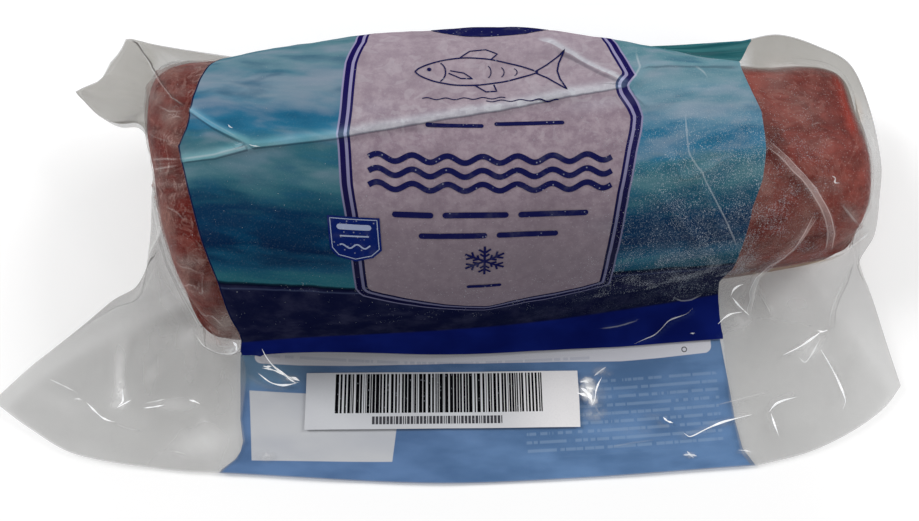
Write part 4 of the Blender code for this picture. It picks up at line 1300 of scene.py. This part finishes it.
upper.data.materials.append(upper_film_material("clear_film", 0.08, 1.5))
upper.data.materials.append(upper_film_material("dull_film", 0.0, 1.45))
upper.data.materials.append(upper_film_material("cling_film", 0.0, 1.5))
ink_edge = np.zeros(len(upper.data.vertices))
upper.data.attributes["edge"].data.foreach_get("value", ink_edge)
ink_run = np.zeros(len(upper.data.vertices))
upper.data.attributes["ps"].data.foreach_get("value", ink_run)
bare_film = (ink_edge < -1.5) | (ink_run < 56.0)
dull_film = with_spine(LIFTED) > 0.3
dull_film |= (ink_run < 122.0) | (ink_run > 206.0)
clinging = with_spine(np.maximum(on_meat, 2 * stand_off)) > 0.5


def film_kind(corners):
    if all(bare_film[i] for i in corners):
        return 3 if all(clinging[i] for i in corners) else 1
    return 2 if any(dull_film[i] for i in corners) else 0


upper.data.polygons.foreach_set("material_index", [film_kind(p.vertices) for p in upper.data.polygons])
keep(upper, "bag", slot="film")

lower = new_object("film_lower", with_spine(film_low), grid_faces(rings, flip=True))
print_fields(lower, LOW, LOW_FLAT, BACK_LEFT, BACK_RIGHT)
add_field(lower, "strip", with_spine(LOW_FLAT - line_at(STRIP, LOW[..., 0])))
add_field(lower, "seal", with_spine(LOW_RUN[:, -1:] - LOW_RUN))
lower.data.materials.append(lower_film_material())
keep(lower, "bag", slot="film")

# the loin: its upper and lower side meet along its widest line
up_points, low_points = with_spine(meat_up), with_spine(meat_low[:, :-1])
offset = len(up_points)
meat_faces = grid_faces(RINGS_IN + 1) + grid_faces(RINGS_IN, True, offset)
for k in range(SPOKES):
    n = (k + 1) % SPOKES
    up_a, up_b = (COLUMNS + 1 + i * RINGS_IN + RINGS_IN - 1 for i in (k, n))
    low_a, low_b = (offset + COLUMNS + 1 + i * (RINGS_IN - 1) + RINGS_IN - 2 for i in (k, n))
    meat_faces.append([up_a, low_a, low_b, up_b])
meat_points = np.concatenate([up_points, low_points])
meat = new_object("loin_meat", meat_points, meat_faces)
mx = meat_points[:, 0]
add_field(meat, "pale", smoothstep(-60, 90, mx))
meat_seen = seen_at(meat_points)
red_edge = off_line(meat_seen, [(838, 76), (846, 100), (853, 128)])
add_field(meat, "streak", np.exp(-((red_edge[0] / 5.5) ** 2)) * (meat_points[:, 2] > 30))
meat.data.materials.append(meat_material())
keep(meat, "bag")

# ==================================================================================
# Print motifs: flat shapes laid on the upper film
# ==================================================================================
UP_NORMAL = grid_normals(film_up)


def column_line(grid, c):
    """A whole line across the film, from the front rim over the loin to the back rim."""
    back = 2 * COLUMNS + FAN - c
    return np.concatenate([grid[c][::-1], grid[back][1:]])


def on_film(points, lift):
    """Points of flat print coordinates as points on the upper film, lifted off it."""
    points = np.asarray(points, float)
    where = np.clip((points[:, 0] - SPINE_LEFT) / STEP, 0, COLUMNS - 1e-6)
    column = where.astype(int)
    share = (where - column)[:, None]
    found = np.zeros((len(points), 3))
    for c in np.unique(column):
        rows = np.nonzero(column == c)[0]
        spot = []
        for side in (c, c + 1):
            s = column_line(FLAT, side)
            line, normal = column_line(film_up, side), column_line(UP_NORMAL, side)
            at = np.stack([np.interp(points[rows, 1], s, line[:, k]) for k in range(3)], 1)
            out = np.stack([np.interp(points[rows, 1], s, normal[:, k]) for k in range(3)], 1)
            spot.append(at + out * lift)
        found[rows] = spot[0] * (1 - share[rows]) + spot[1] * share[rows]
    return found


def closer(line, spacing, closed=False):
    """The line with points no further apart than spacing."""
    line = [np.array(p, float) for p in line]
    if closed:
        line = line + [line[0]]
    made = []
    for a, b in zip(line[:-1], line[1:]):
        parts = max(1, int(math.ceil(np.linalg.norm(b - a) / spacing)))
        made += [a + (b - a) * i / parts for i in range(parts)]
    return made if closed else made + [line[-1]]


def filled(outline, spacing=1.3):
    """Triangles that fill a closed outline, with points inside it."""
    edge = np.array(closer(outline, spacing, True))
    low, high = edge.min(0), edge.max(0)
    xs, ys = np.meshgrid(np.arange(low[0], high[0], spacing), np.arange(low[1], high[1], spacing))
    inner = np.stack([xs.ravel(), ys.ravel()], 1)
    inner = inner[polygon_distance(inner[:, 0], inner[:, 1], edge) > 0.45 * spacing]
    points = [Vector(p) for p in np.concatenate([edge, inner])]
    result = delaunay_2d_cdt(points, [], [list(range(len(edge)))], 1, 1e-6)
    return np.array([list(p) for p in result[0]]), [list(face) for face in result[2]]


def ribbon(line, width, closed=False, spacing=1.0):
    """A strip of even width along a line."""
    line = np.array(closer(line, spacing, closed))
    if closed:
        way = np.roll(line, -1, 0) - np.roll(line, 1, 0)
    else:
        way = np.gradient(line, axis=0)
    way /= np.linalg.norm(way, axis=1, keepdims=True)
    side = np.stack([-way[:, 1], way[:, 0]], 1) * width / 2
    count = len(line)
    points = np.concatenate([line - side, line + side])
    faces = [[i, (i + 1) % count, count + (i + 1) % count, count + i] for i in range(count if closed else count - 1)]
    return points, faces


def pill(left, right, s, tall):
    """A bar with round ends."""
    r = tall / 2
    arc = [i * math.pi / 6 for i in range(7)]
    ends = [(right - r + r * math.sin(a), s + r * math.cos(a)) for a in arc]
    return ends + [(left + r - r * math.sin(a), s - r * math.cos(a)) for a in arc]


def arc(cx, cy, rx, ry, start, end, count=24):
    turn = np.radians(np.linspace(start, end, count))
    return [(cx + rx * math.cos(a), cy + ry * math.sin(a)) for a in turn]


def motif(name, shapes, material, lift=0.16):
    points, faces, count = [], [], 0
    for flat_points, flat_faces in shapes:
        points.append(on_film(flat_points, lift))
        faces += [[i + count for i in face] for face in flat_faces]
        count += len(flat_points)
    points = np.concatenate(points)
    # each face looks outward
    for number, face in enumerate(faces):
        a, b, c = (points[i] for i in face[:3])
        way = np.cross(b - a, c - a)
        outward_hint = a - np.array([a[0], 15.0, 45.0])
        if way @ outward_hint < 0:
            faces[number] = face[::-1]
    made = new_object(name, points, faces)
    made.data.materials.append(material)
    return keep(made, "bag", slot="film")


navy_ink = ink_material("navy_ink", srgb(24, 26, 76))
white_ink = ink_material("white_ink", srgb(158, 168, 196), 0.15)
badge_ink = ink_material("badge_ink", srgb(16, 34, 100), 0.2)

marks = [filled(pill(a, b, s, tall)) for a, b, s, tall in (
    (-12.7, 9.0, 184.8, 1.5), (13.0, 39.3, 185.6, 1.5),
    (-25.3, -9.8, 151.0, 2.3), (-6.4, 18.6, 151.0, 2.3), (22.2, 49.0, 151.0, 2.3),
    (-15.5, 10.6, 142.6, 2.3), (14.2, 38.0, 142.6, 2.3),
    (2.8, 16.8, 117.6, 1.6),
)]
for s in (161.6, 166.8, 172.0):  # three rows of plain waves
    wave = [(x, s + 1.25 * math.sin((x + 33.8) * 2 * math.pi / 13.04)) for x in np.arange(-33.8, 57.6, 0.7)]
    marks.append(ribbon(wave, 2.1))
# a plain fish in outline
body = [(x, 207.5 + 6.6 * math.sin(math.pi * ((x + 17) / 47.0) ** 0.8) ** 0.85) for x in np.linspace(-17, 30, 40)]
under = [(x, 207.5 - 6.0 * math.sin(math.pi * ((x + 17) / 47.0) ** 0.8) ** 0.85) for x in np.linspace(-17, 30, 40)]
marks += [ribbon(body, 0.62), ribbon(under, 0.62)]
marks.append(ribbon([(29.2, 207.9), (33.5, 210.6), (40.5, 216.6), (38.2, 211.4), (37.4, 207.5), (38.2, 203.6), (40.5, 198.4), (33.5, 204.4), (29.2, 207.1)], 0.62))
marks.append(ribbon([(0.0, 214.0), (4.0, 217.6), (10.0, 218.2), (14.6, 216.0), (12.0, 213.2)], 0.55))
marks.append(ribbon([(6.0, 201.4), (10.0, 198.6), (14.0, 198.8), (13.0, 201.8)], 0.55))
marks.append(ribbon(arc(-9.5, 207.5, 4.2, 5.0, -58, 58), 0.5))
marks.append(ribbon([(-4.2, 207.0), (0.5, 204.6), (5.0, 204.4), (1.6, 207.0), (-3.6, 208.2)], 0.5))
marks.append(filled(arc(-11.6, 208.8, 0.85, 0.85, 0, 340, 14), 0.6))
for x in (11.0, 16.0, 21.0):
    marks.append(ribbon(arc(x - 2.0, 207.5, 3.0, 3.4 - (x - 11) * 0.12, -50, 50, 12), 0.35))
for s, left, right in ((195.6, -14.0, 18.0), (194.2, 10.0, 38.0)):
    marks.append(ribbon([(x, s + 0.4 * math.sin(x * 0.9)) for x in np.arange(left, right, 0.8)], 0.42))
# snow crystal
for k in range(6):
    a = math.radians(60 * k + 90)
    ca, sa = math.cos(a), math.sin(a)

    def spot(along, across):
        return (9.8 + 1.18 * (along * ca - across * sa), 131.0 + 0.93 * (along * sa + across * ca))

    marks.append(ribbon([spot(0.0, 0), spot(7.4, 0)], 0.92))
    for at, long in ((2.3, 1.6), (4.2, 2.1)):
        for sign in (-1, 1):
            marks.append(ribbon([spot(at, 0), spot(at + long * 0.85, sign * long * 0.95)], 0.85))
# field at the top of the panel
marks.append(filled([(12.4 + 24 * math.cos(a), 239 + 12.4 * math.sin(a)) for a in np.radians(np.arange(0, 360, 6))], 1.8))
motif("print_marks", marks, navy_ink)

shield = [(-49.6, 149.2), (-30.0, 149.2), (-29.6, 136.0), (-33.0, 132.8), (-39.8, 131.0), (-46.6, 132.8), (-49.2, 136.0)]
motif("print_badge", [filled(shield)], badge_ink, 0.22)
inner = [(-48.6, 148.3), (-31.0, 148.3), (-30.6, 136.5), (-33.6, 133.7), (-39.8, 132.1), (-46.0, 133.7), (-48.2, 136.5)]
motif(
    "print_badge_lines",
    [ribbon(inner, 0.34, True), filled(pill(-46.2, -33.2, 145.2, 2.2)), filled(pill(-45.2, -34.2, 141.6, 0.6)),
     ribbon([(x, 137.4 + 0.8 * math.sin((x + 46) * 1.1)) for x in np.arange(-45.4, -33.8, 0.5)], 0.6)],
    white_ink,
    0.30,
)

# ==================================================================================
# Paper label on the front flap
# ==================================================================================
film_tree = BVHTree.FromPolygons([v.co for v in upper.data.vertices], [p.vertices for p in upper.data.polygons])
LABEL_CENTRE, LABEL_SIZE, LABEL_TURN = (-7.75, -68.3), (123.5, 25.4), 0.011


def film_height(x, y):
    start = Vector(((x + SHIFT[0]) * MM, (y + SHIFT[1]) * MM, 0.2))
    return film_tree.ray_cast(start, Vector((0.0, 0.0, -1.0)))[0].z / MM


def on_label(u, v):
    c, s = math.cos(LABEL_TURN), math.sin(LABEL_TURN)
    return LABEL_CENTRE[0] + c * u - s * v, LABEL_CENTRE[1] + s * u + c * v


def label_piece():
    chance = np.random.default_rng(7)
    half_u, half_v = LABEL_SIZE[0] / 2, LABEL_SIZE[1] / 2
    us, vs = np.linspace(-half_u, half_u, 84), np.linspace(-half_v, half_v, 18)
    rough = np.array([[film_height(*on_label(u, v)) for v in vs] for u in us])
    spread = rough.copy()
    for du in (-1, 0, 1):
        for dv in (-1, 0, 1):
            near = rough[np.clip(np.arange(84) + du, 0, 83)][:, np.clip(np.arange(18) + dv, 0, 17)]
            spread = np.maximum(spread, near)
    even_out = spread.copy()
    for _ in range(4):
        wide = np.pad(even_out, 1, mode="edge")
        even_out = (wide[:-2, 1:-1] + wide[2:, 1:-1] + wide[1:-1, :-2] + wide[1:-1, 2:] + 2 * even_out) / 6
    height = np.maximum(spread, even_out) + 0.12

    module, at = 0.31, -48.4
    bars = []
    while at < 43.8:
        wide = module * chance.choice([1, 2, 2, 3, 3, 4, 5])
        bars.append((at, min(at + wide, 44.3)))
        at += wide + module * chance.choice([1, 1, 1, 2, 2, 3])
    bars.append((44.6, 45.2))
    blocks, at = [], -31.6
    while at < 27.0:
        wide = chance.choice([1.2, 1.2, 0.5])
        blocks.append((at, at + wide))
        at += wide + 0.42
    cuts_u = sorted(set([round(c, 4) for pair in bars + blocks for c in pair] + [round(c, 4) for c in np.linspace(-half_u, half_u, 60)]))
    cuts_u = [c for i, c in enumerate(cuts_u) if i == 0 or c - cuts_u[i - 1] > 1e-3]
    cuts_v = [-half_v, -10.6, -7.1, -5.6, -2.0, 1.5, 5.0, 8.5, 12.0, half_v]
    points = []
    for u in cuts_u:
        for v in cuts_v:
            x, y = on_label(u, v)
            i, j = (u + half_u) / (2 * half_u) * 83, (v + half_v) / (2 * half_v) * 17
            i0, j0 = min(int(i), 82), min(int(j), 16)
            ti, tj = i - i0, j - j0
            z = (height[i0, j0] * (1 - tj) + height[i0, j0 + 1] * tj) * (1 - ti) + (height[i0 + 1, j0] * (1 - tj) + height[i0 + 1, j0 + 1] * tj) * ti
            points.append((x, y, z))
    rows = len(cuts_v)
    faces, inked = [], []
    for i in range(len(cuts_u) - 1):
        u = (cuts_u[i] + cuts_u[i + 1]) / 2
        for j in range(rows - 1):
            v = (cuts_v[j] + cuts_v[j + 1]) / 2
            faces.append([i * rows + j, (i + 1) * rows + j, (i + 1) * rows + j + 1, i * rows + j + 1])
            bar = -5.6 < v < 12.0 and any(a <= u <= b for a, b in bars)
            block = -10.6 < v < -7.1 and any(a <= u <= b for a, b in blocks)
            inked.append(1 if bar else 2 if block else 0)
    # the paper's underside and its cut edge
    columns, count = len(cuts_u), len(points)
    points = points + [(x, y, z - 0.09) for x, y, z in points]
    faces += [[i + count for i in reversed(face)] for face in faces]
    border = [i * rows for i in range(columns)] + [(columns - 1) * rows + j for j in range(1, rows)]
    border += [i * rows + rows - 1 for i in range(columns - 2, -1, -1)] + [j for j in range(rows - 2, 0, -1)]
    faces += [[a, a + count, b + count, b] for a, b in zip(border, border[1:] + border[:1])]
    inked += [0] * (len(faces) - len(inked))
    made = new_object("paper_label_face", points, faces, sharp=30)
    made.data.materials.append(paper_material())
    # painted light: brighter paper towards the label's right end
    add_field(made, "light", smoothstep(5.0, 52.0, np.array(points)[:, 0]))
    made.data.materials.append(ink_material("black_ink", srgb(12, 12, 16), 0.02))
    made.data.materials.append(ink_material("grey_ink", srgb(70, 70, 76), 0.06))
    made.data.polygons.foreach_set("material_index", inked)
    return keep(made, "paper_label", slot="label")


label_piece()

# ==================================================================================
# Frost: small flat ice crystals lying on the film
# ==================================================================================
def frost_piece():
    chance = np.random.default_rng(11)
    normal = UP_NORMAL
    spot = seen_at(film_up)
    facing = ((EYE - film_up) * normal).sum(-1) > 0
    x, y = spot[..., 0], spot[..., 1]
    thick = smoothstep(640, 700, x) * smoothstep(845, 790, x) * smoothstep(110, 200, y) * smoothstep(312, 290, y)
    thick = thick + 0.35 * smoothstep(560, 660, x) * smoothstep(850, 800, x) * smoothstep(60, 160, y) * smoothstep(318, 300, y)
    line = np.abs(FLAT - 116.0) < 3.0
    thick = thick + 0.16 * line * (x > 240) + 0.10 * (FLAT > 84) * (FLAT < 116) * smoothstep(300, 560, x)
    thick = thick + 1.1 * smoothstep(560, 640, x) * smoothstep(765, 735, x) * smoothstep(246, 262, y) * smoothstep(314, 300, y)
    thick = thick + 0.012
    patch = smoothstep(0.0, 0.45, noise(film_up / 9.0, 31) + 0.08)
    weight = thick * (0.12 + patch) * facing * (OUT_SHARE < 0.02) * (FLAT > line_at(CONTACT, TOP[..., 0]) + 2)
    area = np.linalg.norm(np.gradient(film_up, axis=1), axis=2) * np.linalg.norm((np.roll(film_up, -1, 0) - film_up), axis=2)
    weight = (weight * area).ravel()
    count = 20000
    chosen = chance.choice(weight.size, size=count, p=weight / weight.sum())
    centres = film_up.reshape(-1, 3)[chosen]
    normals = normal.reshape(-1, 3)[chosen]
    points, faces = [], []
    for centre, up in zip(centres, normals):
        side = np.cross(up, chance.normal(size=3))
        side /= np.linalg.norm(side) + 1e-9
        other = np.cross(up, side)
        centre = centre + side * chance.uniform(-0.8, 0.8) + other * chance.uniform(-0.8, 0.8) + up * 0.10
        size = 0.07 + 0.11 * chance.random() ** 4
        base = len(points)
        corners = chance.uniform(0.7, 1.2, 4)
        for i, reach in enumerate(corners):
            a = 2 * math.pi * i / 4
            points.append(centre + size * reach * (math.cos(a) * side + math.sin(a) * other))
        points.append(centre + up * size * 0.7)
        faces += [[base + i, base + (i + 1) % 4, base + 4] for i in range(4)]
        faces.append([base + 3, base + 2, base + 1, base])
    made = new_object("frost", points, faces, smooth=False)
    g = Graph("ice_crystals")
    tone = g.noise(g.where(), 600.0, 2.0)
    g.shader.inputs["Roughness"].default_value = 0.45
    made.data.materials.append(g.finish(Base_Color=g.mix(tone, srgb(160, 172, 182), srgb(206, 212, 218))))
    return keep(made, "bag")


frost_piece()


# ==================================================================================
# Glints: painted highlights, thin glowing strips along the film's sharpest creases, where they mirror a lamp
# ==================================================================================
def looked_at(x, y):
    """The point of the upper film behind a point of the picture."""
    up = np.array([0.0, math.sin(ELEVATION), math.cos(ELEVATION)])
    way = -EYE / DISTANCE + (HEIGHT / 2 - y) / FOCAL * up + np.array([(x - WIDTH / 2) / FOCAL, 0.0, 0.0])
    hit = film_tree.ray_cast(Vector((EYE + SHIFT) * MM), Vector(way).normalized())[0]
    return None if hit is None else np.array(hit) / MM


def rounded_line(line, spacing):
    """The line with its corners cut twice, in even steps."""
    line = np.array(line, float)
    for _ in range(2):
        near, far = 0.78 * line[:-1] + 0.22 * line[1:], 0.22 * line[:-1] + 0.78 * line[1:]
        line = np.concatenate([line[:1], np.stack([near, far], 1).reshape(-1, 2), line[-1:]])
    run = np.concatenate([[0.0], np.cumsum(np.linalg.norm(np.diff(line, axis=0), axis=1))])
    at = np.linspace(0.0, run[-1], max(6, int(run[-1] / spacing)))
    return np.stack([np.interp(at, run, line[:, k]) for k in (0, 1)], 1)


def glint_material(name, alpha, glow):
    g = Graph(name)
    tone = g.noise(g.where(), 400.0, 3.0, 0.6)
    g.shader.inputs["Roughness"].default_value = 0.3
    g.shader.inputs["Alpha"].default_value = alpha
    g.shader.inputs["Emission Color"].default_value = (1.0, 1.0, 1.0, 1.0)
    g.shader.inputs["Emission Strength"].default_value = glow
    return g.finish(Base_Color=g.mix(g.rise(tone, 0.3, 0.7), srgb(222, 226, 230), srgb(250, 250, 250)))


def glint_piece(name, table, material):
    chance = np.random.default_rng(5)
    points, faces = [], []
    eye = EYE + SHIFT
    for line, width, _ in table:
        path = rounded_line(line, 1.3)
        way = np.gradient(path, axis=0)
        way /= np.linalg.norm(way, axis=1, keepdims=True)
        side = np.stack([-way[:, 1], way[:, 0]], 1)
        t = np.linspace(0.0, 1.0, len(path))
        uneven = 0.72 + 0.28 * np.sin(t * chance.uniform(6.0, 14.0) + chance.uniform(0.0, 6.0))
        half = 0.66 * width * np.minimum(1.0, 3.0 * np.minimum(t, 1 - t) + 0.10) * uneven
        last = None
        for k in range(len(path)):
            spots = [looked_at(*(path[k] + side[k] * half[k] * e)) for e in (-1.0, 0.0, 1.0)]
            if any(spot is None for spot in spots):
                last = None
                continue
            base = len(points)
            for spot, lift in zip(spots, (0.30, 0.42, 0.30)):
                points.append(spot - SHIFT + (eye - spot) / np.linalg.norm(eye - spot) * lift)
            if last is not None:
                faces += [[last, last + 1, base + 1, base], [last + 1, last + 2, base + 2, base + 1]]
            last = base
    for number, face in enumerate(faces):
        a, b, c = (points[i] for i in face[:3])
        if np.cross(b - a, c - a) @ (EYE - a) < 0:
            faces[number] = face[::-1]
    made = new_object(name, points, faces)
    made.data.materials.append(material)
    return keep(made, "bag")


glint_piece("glints_bright", [row for row in SHINES if row[2] >= 0.70], glint_material("bright_glint", 0.92, 0.42))
glint_piece("glints_soft", [row for row in SHINES if 0.45 <= row[2] < 0.70], glint_material("soft_glint", 0.50, 0.30))

# ==================================================================================
# Camera, light, floor
# ==================================================================================
scene = bpy.context.scene
scene.view_settings.view_transform = "Standard"
scene.view_settings.look = "None"
target = Vector(SHIFT * MM)
camera_data = bpy.data.cameras.new("camera")
camera_data.sensor_fit = "HORIZONTAL"
camera_data.sensor_width = 36.0
camera_data.lens = FOCAL / WIDTH * 36.0
camera_data.clip_start = 0.01
camera = bpy.data.objects.new("camera", camera_data)
camera.location = target + Vector(EYE * MM)
camera.rotation_euler = (math.pi / 2 - ELEVATION, 0.0, 0.0)
scene.collection.objects.link(camera)
scene.camera = camera


def softbox(name, at, size, power, aim=(0.0, 0.0, 0.03)):
    data = bpy.data.lights.new(name, "AREA")
    data.shape = "RECTANGLE"
    data.size, data.size_y = size
    data.energy = power
    made = bpy.data.objects.new(name, data)
    made.location = at
    made.rotation_euler = (Vector(aim) - Vector(at)).to_track_quat("-Z", "Y").to_euler()
    scene.collection.objects.link(made)
    return made


softbox("left_box", (-1.25, 0.45, 1.15), (0.55, 0.8), 14.5)
softbox("right_box", (1.30, 0.55, 1.10), (0.55, 0.8), 12.5)
softbox("left_strip", (-0.55, -0.55, 0.95), (0.05, 0.30), 0.5)
softbox("right_strip", (0.70, -0.45, 0.85), (0.05, 0.30), 0.5)

world = bpy.data.worlds.new("studio")
world.use_nodes = True
world.node_tree.nodes["Background"].inputs[0].default_value = (1.0, 1.0, 1.0, 1.0)
world.node_tree.nodes["Background"].inputs[1].default_value = 0.31
scene.world = world

floor_mesh = bpy.data.meshes.new("floor")
floor_mesh.from_pydata([(-4, -4, 0), (4, -4, 0), (4, 4, 0), (-4, 4, 0)], [], [(0, 1, 2, 3)])
floor = bpy.data.objects.new("floor", floor_mesh)
floor.location.z = -0.0003
floor_mesh.materials.append(floor_material())
scene.collection.objects.link(floor)
